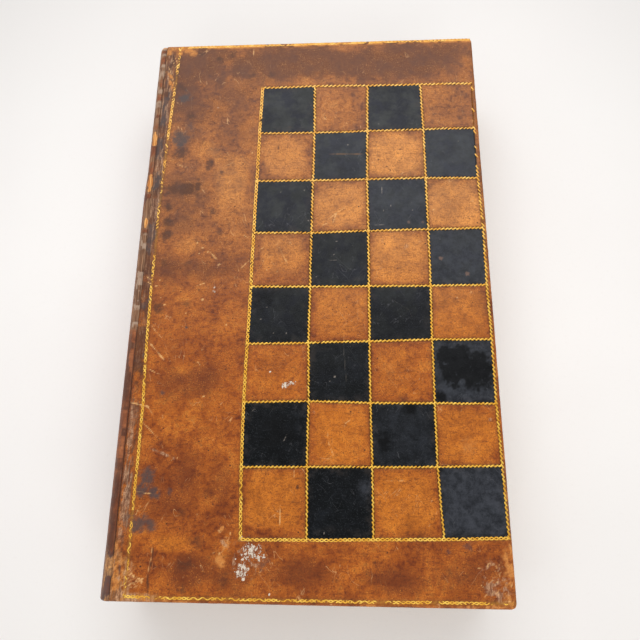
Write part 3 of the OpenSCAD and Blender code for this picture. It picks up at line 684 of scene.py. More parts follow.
# ---------------------------------------------------------------- age: stains, wear, scratches; painted sheen and shade
# in square coordinates of the board: (mark, x, y, radius, strength) and (mark, width, strength, points)
LID_BLOTS = [
    ("raw", -1.38, 8.85, 0.10, 0.7), ("raw", -1.64, 8.83, 0.06, 0.9), ("raw", -1.86, 8.86, 0.07, 0.8),
    ("stain_and_shade", -1.85, 7.67, 0.07, 0.9), ("stain_and_shade", -1.2, 8.85, 0.09, 0.7), ("stain_and_shade", -0.85, 8.7, 0.12, 0.7),
    ("stain_and_shade", -0.6, 8.8, 0.1, 0.6), ("stain_and_shade", 0.2, 8.3, 0.1, 0.6), ("stain_and_shade", -0.15, 8.3, 0.11, 0.6),
    ("stain_and_shade", -1.55, 8.05, 0.13, 0.7), ("stain_and_shade", -1.0, 8.45, 0.2, 0.35), ("stain_and_shade", -0.45, 8.45, 0.22, 0.3),
    ("blue", -1.45, 7.82, 0.16, 0.8), ("stain_and_shade", -1.3, 7.42, 0.11, 0.8), ("blue", -1.45, 6.93, 0.2, 1.0),
    ("stain_and_shade", -1.45, 6.6, 0.17, 0.9), ("stain_and_shade", -1.57, 5.5, 0.11, 0.8), ("stain_and_shade", -1.56, 5.2, 0.12, 0.9), ("stain_and_shade", -1.57, 4.95, 0.12, 0.9), ("stain_and_shade", -0.87, 6.4, 0.1, 0.7), ("stain_and_shade", -0.9, 6.28, 0.07, 0.7),
    ("stain_and_shade", -0.65, 6.2, 0.06, 0.8), ("blue", -1.3, 7.15, 0.12, 0.5), ("stain_and_shade", -1.62, 7.3, 0.1, 0.5),
    ("stain_and_shade", -1.5, 5.86, 0.16, 0.8), ("stain_and_shade", -1.25, 5.84, 0.17, 0.75), ("stain_and_shade", -1.08, 5.9, 0.1, 0.6),
    ("stain_and_shade", -0.75, 5.4, 0.08, 0.6), ("stain_and_shade", -0.6, 5.0, 0.08, 0.6), ("stain_and_shade", -0.45, 5.15, 0.07, 0.6),
    ("stain_and_shade", -1.55, 4.4, 0.1, 0.6), ("stain_and_shade", -1.15, 4.4, 0.09, 0.5), ("stain_and_shade", -1.1, 3.7, 0.09, 0.5),
    ("stain_and_shade", -1.6, 3.6, 0.13, 0.7), ("blue", -1.07, 3.25, 0.03, 1.0),
    ("white", -0.8, 7.58, 0.035, 0.5), ("white", -0.65, 3.9, 0.045, 0.55), ("white", -0.64, 3.96, 0.035, 0.5),
    ("blue", -1.5, 0.85, 0.15, 0.8), ("blue", -1.6, 0.65, 0.12, 0.8), ("blue", -1.35, 0.6, 0.12, 0.8),
    ("blue", -1.12, 0.62, 0.07, 0.6), ("blue", -1.56, 0.14, 0.15, 1.0), ("blue", -1.38, 0.13, 0.12, 0.95), ("blue", -1.78, 0.25, 0.08, 0.9),
    ("blue", -1.38, 2.15, 0.06, 0.7), ("stain_and_shade", -0.9, 0.3, 0.14, 0.45), ("stain_and_shade", -0.5, 0.6, 0.12, 0.4),
    ("stain_and_shade", -0.65, -0.1, 0.13, 0.55), ("stain_and_shade", -0.8, -0.4, 0.16, 0.55), ("stain_and_shade", -0.85, -0.75, 0.09, 0.6),
    ("stain_and_shade", -0.2, -0.6, 0.14, 0.5), ("blue", 0.35, -0.4, 0.12, 0.5), ("blue", 3.4, -0.1, 0.08, 0.5),
    ("blue", 3.1, -0.18, 0.06, 0.5), ("stain_and_shade", -0.35, -0.25, 0.1, 0.4), ("stain_and_shade", -1.2, 1.0, 0.12, 0.3),
    ("stain_and_shade", 0.9, -0.45, 0.3, 0.3), ("stain_and_shade", 2.0, -0.5, 0.35, 0.3), ("stain_and_shade", 3.1, -0.55, 0.25, 0.35),
    ("scuff", 3.75, -0.62, 0.12, 0.3), ("raw", -0.22, -0.12, 0.08, 0.95), ("raw", -0.28, 0.1, 0.055, 0.9),
    ("raw", -0.28, -0.36, 0.09, 0.9), ("scuff", -1.3, 1.2, 0.05, 0.4),
    # squares
    # the large grey blots on the black squares are painted reflection, and the deep black blots there painted shade
    # where that reflection is missing
    ("stain_and_shade", 0.58, 7.12, 0.05, 0.5), ("lite", 2.22, 7.15, 0.025, 0.6), ("raw", 0.5, 6.55, 0.22, 0.25),
    ("lite", 1.65, 6.72, 0.025, 0.8), ("painted_sheen", 1.9, 6.65, 0.1, 0.6), ("stain_and_shade", 2.35, 6.25, 0.025, 0.9),
    ("stain_and_shade", 2.2, 6.4, 0.022, 0.9), ("stain_and_shade", 2.6, 6.6, 0.02, 0.8), ("lite", 3.65, 6.75, 0.03, 0.5),
    ("lite", 0.45, 5.77, 0.022, 0.8), ("lite", 0.87, 5.8, 0.022, 0.8), ("lite", 0.95, 5.2, 0.022, 0.8),
    ("lite", 2.4, 5.47, 0.022, 0.8), ("lite", 2.27, 5.38, 0.02, 0.8), ("lite", 2.78, 5.38, 0.022, 0.8),
    ("scuff", 2.7, 5.15, 0.05, 0.5), ("scuff", 2.95, 5.15, 0.04, 0.5), ("lite", 3.14, 5.38, 0.025, 0.9),
    ("lite", 0.25, 4.28, 0.022, 0.9), ("lite", 0.42, 4.25, 0.02, 0.8), ("lite", 1.4, 4.55, 0.02, 0.8),
    ("lite", 1.45, 4.8, 0.02, 0.8), ("lite", 1.1, 4.15, 0.025, 0.8), ("scuff", 2.65, 4.7, 0.07, 0.5),
    ("scuff", 2.25, 4.8, 0.05, 0.45), ("scuff", 2.2, 4.3, 0.05, 0.4), ("scuff", 3.22, 4.47, 0.05, 0.7),
    ("scuff", 3.65, 4.18, 0.05, 0.7), ("scuff", 3.95, 4.3, 0.04, 0.6), ("sheenless_shade", 0.25, 3.75, 0.26, 0.6),
    ("lite", 0.27, 3.6, 0.022, 0.8), ("lite", 0.18, 3.4, 0.022, 0.8), ("lite", 0.4, 3.15, 0.022, 0.8),
    ("lite", 0.62, 3.15, 0.022, 0.8), ("lite", 1.42, 2.42, 0.028, 0.9), ("lite", 1.35, 2.35, 0.02, 0.8),
    ("stain_and_shade", 2.5, 2.08, 0.09, 0.5), ("raw", 2.3, 2.55, 0.16, 0.35), ("painted_sheen", 3.48, 2.52, 0.47, 0.62),
    ("painted_sheen", 3.5, 4.5, 0.44, 0.62), ("painted_sheen", 2.5, 5.5, 0.44, 0.60), ("painted_sheen", 1.5, 6.5, 0.42, 0.35),
    ("painted_sheen", 3.5, 6.5, 0.44, 0.55), ("painted_sheen", 3.55, 0.55, 0.46, 0.75), ("painted_sheen", 2.45, 1.5, 0.40, 0.20), ("sheenless_shade", 0.5, 1.5, 0.42, 0.55),
    ("sheenless_shade", 3.4, 2.62, 0.34, 1.3), ("sheenless_shade", 3.68, 2.52, 0.32, 1.3), ("sheenless_shade", 3.25, 2.75, 0.2, 1.2), ("sheenless_shade", 3.1, 2.1, 0.11, 1.0), ("white", 0.62, 2.28, 0.03, 0.9),
    ("white", 0.37, 2.5, 0.022, 1.0), ("sheenless_shade", 2.6, 1.9, 0.13, 1.0), ("sheenless_shade", 2.2, 1.4, 0.14, 1.0),
    ("raw", 3.5, 1.3, 0.2, 0.4), ("scuff", 3.85, 1.75, 0.05, 0.6), ("scuff", 1.1, 1.85, 0.05, 0.4),
    ("stain_and_shade", 0.85, 0.7, 0.05, 0.7), ("stain_and_shade", 0.8, 0.5, 0.04, 0.5), ("painted_sheen", 1.9, 0.7, 0.12, 0.6),
    ("lite", 1.27, 0.05, 0.022, 0.9), ("stain_and_shade", 2.1, 0.5, 0.05, 0.5), ("painted_sheen", 3.5, 0.5, 0.45, 0.45),
    # white specks under the board
    ("white", 0.1, -0.25, 0.024, 1.0), ("white", 0.02, -0.42, 0.026, 1.0), ("white", 0.15, -0.45, 0.024, 0.9),
    ("white", 0.22, -0.15, 0.028, 0.9), ("white", 0.3, -0.3, 0.028, 0.8), ("white", 0.38, -0.3, 0.022, 0.8),
    ("white", 0.08, -0.6, 0.03, 1.0), ("white", 0.0, -0.5, 0.03, 0.9), ("white", 0.48, -0.8, 0.028, 0.9),
    ("white", 0.02, -0.03, 0.03, 0.9), ("white", 0.06, -0.33, 0.03, 0.9), ("white", -0.05, -0.33, 0.022, 0.8),
]
LID_STROKES = [
    ("raw", 0.10, 0.95, [(-1.9, 8.98), (-1.3, 8.99)]), ("raw", 0.05, 0.9, [(-1.92, 8.9), (-1.93, 8.6)]),
    ("raw", 0.05, 0.9, [(-1.88, 8.45), (-1.72, 8.25)]), ("raw", 0.05, 0.8, [(-1.8, 8.25), (-1.7, 7.98)]),
    ("raw", 0.03, 0.8, [(-1.7, 8.2), (-1.74, 8.0)]), ("stain_and_shade", 0.05, 0.9, [(-1.9, 8.9), (-1.9, 8.6)]),
    ("stain_and_shade", 0.06, 0.9, [(-1.93, 7.6), (-1.93, 7.1)]), ("stain_and_shade", 0.07, 0.8, [(-1.7, 5.9), (-1.05, 5.8)]),
    ("stain_and_shade", 0.09, 0.8, [(-1.55, 5.3), (-1.53, 4.85)]),
    ("raw", 0.10, 0.45, [(-1.1, 6.85), (-0.9, 6.75)]), ("raw", 0.12, 0.4, [(-0.6, 6.1), (-0.4, 6.1)]),
    ("lite", 0.022, 0.8, [(-1.5, 6.38), (-1.3, 6.30)]), ("lite", 0.022, 0.8, [(-0.18, 8.9), (-0.18, 8.75)]),
    ("lite", 0.03, 1.0, [(-0.77, 4.63), (-0.62, 4.47)]), ("lite", 0.022, 0.9, [(-0.9, 4.47), (-0.84, 4.4)]),
    ("lite", 0.022, 0.9, [(-0.22, 4.3), (-0.05, 4.47)]), ("lite", 0.022, 0.8, [(-0.2, 4.95), (-0.1, 4.88)]),
    ("lite", 0.02, 0.8, [(-0.95, 4.0), (-0.8, 4.05)]), ("lite", 0.03, 1.0, [(-1.7, 3.02), (-1.55, 2.86), (-1.4, 2.7)]),
    ("lite", 0.022, 0.8, [(-1.68, 3.3), (-1.5, 3.1)]), ("lite", 0.022, 0.9, [(-1.42, 2.88), (-1.3, 2.68)]),
    ("lite", 0.022, 0.8, [(-1.65, 2.55), (-1.45, 2.45)]), ("lite", 0.02, 0.8, [(-0.85, 2.68), (-0.77, 2.6)]),
    ("lite", 0.035, 1.0, [(-1.9, 2.0), (-1.6, 1.93), (-1.5, 1.8)]), ("lite", 0.022, 0.8, [(-1.65, 1.67), (-1.35, 1.4)]),
    ("scuff", 0.03, 0.9, [(-1.5, 1.27), (-1.3, 1.2), (-1.1, 1.12)]),
    ("stain_and_shade", 0.022, 1.0, [(-1.32, -0.1), (-1.3, -0.3), (-1.35, -0.6), (-1.33, -0.85)]),
    ("lite", 0.018, 0.6, [(-1.34, -0.1), (-1.32, -0.3), (-1.37, -0.6)]),
    ("lite", 0.02, 0.7, [(-1.68, -0.55), (-1.4, -0.7)]), ("lite", 0.02, 0.8, [(-1.63, 0.36), (-1.56, 0.3)]),
    ("lite", 0.02, 0.8, [(-1.65, 0.62), (-1.4, 0.58)]), ("lite", 0.02, 0.9, [(-1.84, 4.18), (-1.75, 4.1)]),
    ("lite", 0.02, 0.9, [(-1.82, 4.08), (-1.74, 4.03)]), ("scuff", 0.05, 0.7, [(-0.3, -0.05), (-0.15, -0.2)]),
    ("lite", 0.02, 0.6, [(-0.9, 6.72), (-0.86, 6.66)]), ("lite", 0.02, 0.9, [(-0.57, 6.6), (-0.53, 6.55)]),
    ("lite", 0.02, 0.7, [(-0.12, 6.63), (-0.1, 6.56)]), ("lite", 0.022, 0.8, [(-1.35, 1.8), (-1.33, 1.74)]),
    ("lite", 0.02, 0.9, [(-1.76, -0.48), (-1.40, -0.66)]), ("lite", 0.02, 0.8, [(-1.74, -0.60), (-1.50, -0.72)]),
    ("lite", 0.02, 0.8, [(-1.70, -0.42), (-1.45, -0.74)]), ("lite", 0.02, 0.7, [(-1.66, -0.72), (-1.38, -0.60)]),
    ("stain_and_shade", 0.19, 1.0, [(-1.42, 5.86), (-1.13, 5.86)]), ("stain_and_shade", 0.07, 0.9, [(-1.07, 6.05), (-1.07, 5.72)]),
    ("lite", 0.02, 0.8, [(-1.80, 8.75), (-1.66, 8.45)]), ("lite", 0.02, 0.7, [(-1.74, 8.80), (-1.62, 8.50)]),
    ("lite", 0.02, 0.8, [(-1.78, 8.40), (-1.68, 8.10)]), ("stain_and_shade", 0.035, 0.9, [(-1.76, 8.70), (-1.64, 8.35)]),
    ("lite", 0.02, 0.7, [(-1.85, 8.60), (-1.75, 8.30)]), ("stain_and_shade", 0.04, 0.8, [(-1.85, 8.3), (-1.80, 7.6), (-1.84, 7.0)]),
    ("stain_and_shade", 0.035, 0.7, [(-1.82, 6.2), (-1.86, 5.4), (-1.84, 4.8)]),
    ("raw", 0.11, 0.9, [(-1.9, -0.1), (-1.9, -0.55), (-1.85, -0.86)]), ("raw", 0.07, 0.8, [(-1.85, -0.9), (-1.0, -0.9)]),
    ("stain_and_shade", 0.03, 0.9, [(-1.95, 2.0), (-1.95, 0.2)]),
    # squares
    ("lite", 0.022, 0.4, [(3.75, 7.85), (3.77, 7.2)]), ("lite", 0.02, 0.35, [(3.6, 7.7), (3.62, 7.3)]),
    ("stain_and_shade", 0.022, 0.8, [(0.38, 6.75), (0.37, 6.5)]), ("raw", 0.025, 0.8, [(1.3, 6.53), (1.95, 6.52)]),
    ("lite", 0.02, 0.5, [(3.5, 6.35), (3.6, 6.25)]), ("lite", 0.02, 0.5, [(3.12, 6.48), (3.2, 6.42)]),
    ("lite", 0.025, 0.9, [(1.45, 5.35), (1.3, 5.22)]), ("lite", 0.025, 0.9, [(1.45, 5.35), (1.38, 5.15)]),
    ("lite", 0.022, 0.7, [(1.45, 5.35), (1.6, 5.45)]), ("lite", 0.022, 0.7, [(1.3, 5.15), (1.18, 5.1)]),
    ("lite", 0.018, 0.8, [(2.25, 5.85), (2.25, 5.7)]), ("lite", 0.018, 0.7, [(2.1, 5.1), (2.3, 5.1)]),
    ("lite", 0.022, 0.9, [(0.1, 4.65), (0.2, 4.72)]), ("lite", 0.03, 0.9, [(0.45, 4.7), (0.52, 4.55), (0.6, 4.4)]),
    ("lite", 0.02, 0.9, [(1.3, 4.45), (1.45, 4.45)]), ("lite", 0.018, 0.42, [(1.57, 3.25), (1.57, 2.85), (1.6, 2.45), (1.6, 2.0)]),
    ("lite", 0.02, 0.36, [(2.2, 3.85), (2.65, 3.55), (2.75, 3.3)]), ("lite", 0.02, 0.9, [(0.1, 1.87), (0.17, 1.9)]),
    ("lite", 0.022, 0.9, [(0.62, 1.4), (0.67, 1.5)]), ("lite", 0.022, 0.8, [(1.53, 1.72), (1.6, 1.68), (1.68, 1.74)]),
    ("lite", 0.02, 0.7, [(1.3, 1.6), (1.34, 1.35), (1.42, 1.15)]), ("lite", 0.022, 0.9, [(0.6, 0.4), (0.6, 0.15)]),
    ("lite", 0.022, 0.9, [(0.8, 0.95), (0.8, 0.85)]), ("lite", 0.025, 0.7, [(2.2, 0.82), (2.5, 0.82)]),
]
_r = np.random.RandomState(77)
for _a, _b, _ra, _rb, _n, _w in ((-0.27, -0.02, 0.12, 0.16, 12, 0.75), (-0.3, -0.36, 0.12, 0.12, 9, 0.7), (3.78, -0.62, 0.22, 0.26, 26, 0.8),
                                 (-1.58, -0.62, 0.16, 0.14, 12, 0.8), (1.4, 4.6, 0.35, 0.3, 14, 0.55), (2.5, 5.5, 0.35, 0.35, 10, 0.4),
                                 (0.5, 4.55, 0.35, 0.3, 10, 0.5), (2.5, 4.5, 0.35, 0.3, 8, 0.4), (1.5, 1.5, 0.35, 0.35, 10, 0.45), (2.5, 0.5, 0.35, 0.35, 10, 0.4)):
    for _k in range(_n):
        _x, _y = _a + _r.uniform(-_ra, _ra), _b + _r.uniform(-_rb, _rb)
        _t, _l = _r.uniform(0, math.pi), _r.uniform(0.04, 0.13)
        LID_STROKES.append(("lite", 0.018, _w * _r.uniform(0.6, 1.0), [(_x, _y), (_x + _l * math.cos(_t), _y + _l * math.sin(_t))]))
for _k, (_a, _b) in enumerate([(-1.0, 4.8), (-0.9, 4.7), (-0.8, 4.62), (-0.95, 4.6), (-1.6, 4.1), (-1.65, 4.0), (-1.55, 3.78),
                               (-1.48, 3.66), (-0.83, 3.75), (-1.1, 3.5), (-1.05, 1.12), (-0.4, 3.3), (-0.7, 2.1), (-0.5, 1.4)]):
    LID_BLOTS.append(("lite", _a, _b, 0.022 + 0.004 * (_k % 3), 0.9))
# broad soft clouds: (x, y, half width, half height, darker above 0 or warmer below 0)
LID_CLOUDS = [
    (-1.2, 8.6, 0.8, 0.5, 0.75), (0.6, 8.55, 1.3, 0.42, 0.95), (2.6, 8.55, 1.5, 0.42, 1.0), (-1.55, 8.0, 0.4, 0.5, 0.6),
    (-1.3, 7.5, 0.5, 0.6, 0.45), (-0.6, 7.8, 0.5, 0.5, 0.4), (-0.5, 7.1, 0.5, 0.35, 0.25), (-1.3, 6.9, 0.25, 0.3, 0.3),
    (-0.95, 6.75, 0.3, 0.25, -0.4), (-0.45, 6.0, 0.38, 0.6, -0.6), (-0.4, 5.2, 0.3, 0.4, -0.1), (-1.3, 5.8, 0.5, 0.35, 0.5), (-1.35, 5.2, 0.35, 0.35, 0.35),
    (-1.15, 4.75, 0.4, 0.25, -0.45), (-0.9, 4.3, 0.55, 0.28, 0.55), (-1.5, 4.35, 0.3, 0.35, 0.5), (-0.3, 4.35, 0.3, 0.3, 0.3),
    (-1.2, 3.55, 0.35, 0.35, -0.25), (-0.5, 3.3, 0.35, 0.4, -0.3), (-1.35, 2.5, 0.3, 0.5, 0.25), (-0.7, 2.3, 0.35, 0.4, 0.3),
    (-0.35, 1.7, 0.25, 0.5, -0.2), (-0.75, 2.4, 0.3, 0.3, 0.3), (-1.2, 2.2, 0.3, 0.4, 0.2), (-1.1, 1.7, 0.4, 0.35, -0.2), (-0.9, 0.75, 0.3, 0.5, 0.45), (-0.35, 0.75, 0.22, 0.4, 0.35),
    (-1.35, 0.5, 0.35, 0.5, 0.3), (-1.1, -0.12, 0.35, 0.18, -0.6), (-0.75, -0.5, 0.4, 0.25, 0.6), (-0.1, -0.55, 0.35, 0.3, 0.4),
    (0.9, -0.5, 0.6, 0.25, 0.45), (1.9, -0.35, 0.5, 0.2, -0.1), (2.4, -0.6, 0.6, 0.2, 0.5), (3.4, -0.5, 0.45, 0.3, 0.45),
    (0.5, 6.5, 0.3, 0.3, -0.4), (1.5, 5.5, 0.4, 0.35, -0.6), (2.5, 6.5, 0.44, 0.42, -1.0), (3.5, 5.5, 0.44, 0.40, -0.9),
    (0.5, 4.6, 0.3, 0.25, -0.45), (2.5, 4.5, 0.44, 0.42, -0.95), (1.5, 7.5, 0.45, 0.45, 0.16), (1.6, 1.5, 0.4, 0.4, -0.5),
    (0.5, 0.55, 0.4, 0.35, -0.55), (2.5, 0.5, 0.42, 0.42, -0.6), (3.4, 1.45, 0.4, 0.4, -0.5), (0.5, 2.5, 0.25, 0.25, -0.15),
    (2.3, 2.6, 0.3, 0.3, -0.25), (3.4, 3.45, 0.42, 0.42, -0.55), (3.6, 7.5, 0.4, 0.4, 0.1), (1.6, 3.5, 0.42, 0.42, -0.45),
]
MARKS = ("raw", "stain_and_shade", "blue", "scuff", "lite", "white", "painted_sheen", "sheenless_shade")


def base_marks():
    r = np.random.RandomState(23)
    blots, strokes = [], []
    for _ in range(46):
        kind = r.choice(["stain_and_shade", "stain_and_shade", "stain_and_shade", "blue", "scuff", "raw"])
        blots.append((kind, r.uniform(-1.8, 0), r.uniform(-0.8, 8.9), r.uniform(0.04, 0.2), r.uniform(0.3, 0.75)))
    for _ in range(60):
        # some of these random blots are painted sheen and painted shade on the black squares
        kind = r.choice(["lite", "lite", "stain_and_shade", "painted_sheen", "sheenless_shade"])
        blots.append((kind, r.uniform(0, 4), r.uniform(-0.8, 8.9), r.uniform(0.02, 0.09), r.uniform(0.3, 0.8)))
    for _ in range(70):
        a, b, t, n = r.uniform(-1.8, 4), r.uniform(-0.8, 8.9), r.uniform(0, math.pi), r.uniform(0.05, 0.4)
        strokes.append(("lite", 0.025, r.uniform(0.5, 0.9), [(a, b), (a + n * math.cos(t), b + n * math.sin(t))]))
    strokes.append(("raw", 0.1, 0.8, [(-1.9, 8.98), (-1.5, 8.99)]))
    strokes.append(("raw", 0.1, 0.8, [(-1.9, -0.93), (-1.4, -0.93)]))
    return blots, strokes


BASE_MARKS = base_marks()


def paint(x, y, d, lid):
    """The age marks of a cover's outside, with painted sheen and painted shade among them, one value per vertex and
    kind.
    """
    a, b = (x - G0X) / SQ, (y - G0Y) / SQ
    blots, strokes = (LID_BLOTS, LID_STROKES) if lid else BASE_MARKS
    out = {m: np.zeros(len(x)) for m in MARKS}
    warp = 0.5 * (fbm(a * 9, b * 9, 7, 3) - 0.5) + 0.22 * (fbm(a * 30, b * 30, 8, 2) - 0.5)
    grit = fbm(a * 22, b * 22, 9, 3)
    for kind, u, v, r, s in blots:
        near = np.hypot(a - u, b - v) / (r * (0.8 if kind == "lite" else 1.0))
        if r < 0.06:
            val = s * (1 - sstep(0.4, 1.15, near * (0.7 + 0.9 * vnoise(a * 34 + u, b * 34 + v, 6)) + 0.5 * warp))
        # painted reflection: a big sheen blot fills its whole black square
        elif kind == "painted_sheen" and r > 0.3:
            val = s * (1 - sstep(0.95, 1.25, np.maximum(np.abs(a - u), np.abs(b - v)) / 0.45 + 0.6 * warp))
        else:
            val = s * (1 - sstep(0.1, 1.5, near + 2.0 * warp)) * sstep(0.1, 0.6, grit + 0.1)
        out[kind] = np.maximum(out[kind], val)
    for kind, wd, s, pts in strokes:
        dist, along = seg_dist(a, b, pts)
        if kind == "lite":
            wd = max(wd * 0.62 + 0.001, 0.0155)
            dist = dist + 0.004 * (vnoise(a * 40, b * 40, 5) - 0.3)
        keep = 1.0 if wd > 0.15 else 0.45 + 0.55 * sstep(0.3, 0.65, vnoise(along * 9 + pts[0][0] * 31, along * 0 + pts[0][1] * 17, 3))
        taper = 0.55 + 0.45 * sstep(0, 0.25, along) * (1 - sstep(0.75, 1, along))
        out[kind] = np.maximum(out[kind], s * keep * taper * (1 - sstep(0.2, 1.0, (dist + 0.35 * wd * warp) / wd)))
    n1, n2 = fbm(a * 2.2, b * 2.2, 11, 4), fbm(a * 7, b * 7, 12, 3)
    n3 = fbm(a * 26, b * 13, 13, 3)
    wx, wy = wander(x, y, lid)
    xn, yn = 2 * x - wx, 2 * y - wy
    gx, gy = (xn - G0X) / SQ, (yn - G0Y) / SQ
    on_board = (gx > -0.03) & (gx < 4.03) & (gy > -0.03) & (gy < 8.03)
    lines = np.where(on_board, np.minimum(np.abs(gx - np.round(gx)), np.abs(gy - np.round(gy))) * SQ, 99.0)
    lines = np.minimum(lines, np.where((np.abs(yn) < 220.5), np.abs(xn - GX[1]), 99.0))
    lines = np.minimum(lines, np.where(xn > GX[1] - 1, np.minimum(np.abs(yn - GY[1]), np.abs(yn - GY[-2])), 99.0))
    twist = (gx > 0.03) & (gx < 4.03) & (gy > 0.03) & (gy < 8.1)
    out["gild"] = np.exp(-((lines / 0.95) ** 2)) * (d < 1.5) * np.where(b > 8.3, 0.6, 1.0) * np.where(twist, 0.22, 0.75)
    out["halo"] = np.exp(-((lines / 1.8) ** 2)) * (0.75 + 0.9 * (n2 - 0.3)) * (d < 1.5) * np.where((gx > 3.9) & (gy > 6.2), 0.45, 1.0)
    splat = np.zeros(len(x))
    if lid:
        # strip outside the left border line
        strip = 1 - sstep(-1.76, -1.70, a)
        low = strip * sstep(-0.3, 0.2, b) * (1 - sstep(1.5, 2.6, b)) * sstep(-1.90, -1.86, a)
        lines_y = fbm(a * 60, b * 5, 25, 3)
        band = np.exp(-(((a + 1.845) / 0.045) ** 2))
        out["scuff"] = np.maximum(out["scuff"], low * sstep(0.28, 0.56, 0.4 * n2 + 0.6 * lines_y) * np.clip(0.40 + 0.6 * band + 0.25 * (b < 0.9), 0, 1))
        out["stain_and_shade"] = np.maximum(out["stain_and_shade"], low * 0.55 * sstep(0.9, 1.2, b) * sstep(0.40, 0.6, n2))
        # painted shade: dark patches on the strip by the joint, towards the tail
        out["sheenless_shade"] = np.maximum(out["sheenless_shade"], strip * 0.9 * (1 - sstep(2.4, 3.2, b)) * sstep(0.50, 0.60, fbm(a * 38, b * 30, 33, 3)))
        out["stain_and_shade"] = np.maximum(out["stain_and_shade"], low * (0.35 + 0.5 * sstep(-1.82, -1.77, a)) * sstep(0.42, 0.60, lines_y))
        mid = strip * sstep(2.0, 2.8, b)
        out["stain_and_shade"] = np.maximum(out["stain_and_shade"], mid * (0.45 + 0.5 * sstep(0.35, 0.6, n2)))
        out["blue"] = np.maximum(out["blue"], mid * 0.6 * sstep(0.46, 0.62, fbm(a * 6, b * 3, 14, 3)))
        out["scuff"] = np.maximum(out["scuff"], mid * 0.60 * sstep(0.44, 0.60, lines_y) * (0.55 + 0.45 * sstep(4.0, 6.0, b)))
        red = (1 - sstep(-1.885, -1.86, a)) * (1 - sstep(2.2, 3.0, b))
        out["stain_and_shade"] = np.maximum(out["stain_and_shade"], red * 0.5)
        # the rubbed top edge and its corner
        topedge = sstep(8.80, 8.93, b) * (1 - sstep(-1.5, -0.9, a))
        out["raw"] = np.maximum(out["raw"], topedge * (0.35 + 0.6 * sstep(0.4, 0.6, n2)))
        near = np.exp(-(((a + 1.70) / 0.12) ** 2)) * sstep(7.0, 8.4, b)
        out["raw"] = np.maximum(out["raw"], near * 0.35 * sstep(0.44, 0.6, lines_y))
        # pale scuffs round the white specks, frayed corner at the tail
        for u, v, r in ((0.1, -0.35, 0.3), (3.75, -0.6, 0.3)):
            near = np.hypot(a - u, (b - v) * 0.8) / r
            out["scuff"] = np.maximum(out["scuff"], 0.7 * (1 - sstep(0.4, 1.2, near)) * sstep(0.54, 0.64, fbm(a * 15, b * 15, 21, 3)))
        for u, v, ru, rv, w in ((0.14, -0.24, 0.20, 0.19, 1.0), (0.04, -0.48, 0.18, 0.17, 1.0), (0.30, -0.25, 0.16, 0.20, 0.85), (0.62, 2.28, 0.09, 0.09, 1.0), (0.72, 2.32, 0.16, 0.07, 0.8)):
            near = np.hypot((a - u) / ru, (b - v) / rv)
            splat = np.maximum(splat, w * (1 - sstep(0.35, 1.25, near + 0.25 * warp)))
        # the rubbed tail corner at the fore-edge
        fray = sstep(3.75, 4.02, a) * (1 - sstep(-0.1, 0.1, b)) + (1 - sstep(-0.92, -0.84, b)) * sstep(3.0, 3.4, a)
        out["raw"] = np.maximum(out["raw"], np.clip(fray, 0, 1) * (0.30 + 0.6 * sstep(0.42, 0.58, n3)))
        top = sstep(8.90, 8.955, b)
        out["raw"] = np.maximum(out["raw"], top * 0.75 * sstep(0.34, 0.54, n2))
        # raw leather along the tail edge at the joint corner, darker along the edges
        corner = (1 - sstep(-1.78, -1.5, a)) * (1 - sstep(-0.5, 0.0, b))
        corner = np.maximum(corner, (1 - sstep(-1.45, -1.0, a)) * (1 - sstep(-0.86, -0.78, b)))
        out["raw"] = np.maximum(out["raw"], corner * sstep(0.30, 0.55, 0.6 * n2 + 0.4 * n3) * 0.80)
        out["scuff"] = np.maximum(out["scuff"], corner * 0.85 * sstep(0.44, 0.58, 0.5 * n2 + 0.5 * lines_y))
        out["stain_and_shade"] = np.maximum(out["stain_and_shade"], corner * 0.8 * sstep(0.52, 0.62, n3))
        line = np.exp(-(((a + 1.795) / 0.022) ** 2)) * (1 - sstep(0.9, 1.4, b)) * sstep(-0.75, -0.5, b)
        out["blue"] = np.maximum(out["blue"], line * (0.5 + 0.5 * sstep(0.35, 0.6, lines_y)))
    thin = 1 - sstep(0.0, 1.1, np.minimum(X_H - x, HALF - np.abs(y)))
    out["scuff"] = np.maximum(out["scuff"], thin * 0.8 * sstep(0.36, 0.55, fbm(a * 9, b * 9, 24, 3)) * (d < 2.5))
    rim = 1 - sstep(0.0, 3.2, np.minimum(np.minimum(X_H - x, HALF - np.abs(y)), 90.0))
    out["raw"] = np.maximum(out["raw"], rim * 0.8 * sstep(0.55, 0.75, fbm(a * 5, b * 5, 15, 4)))
    out["stain_and_shade"] = np.maximum(out["stain_and_shade"], rim * 0.55 * sstep(0.45, 0.7, fbm(a * 4, b * 4, 16, 3)))
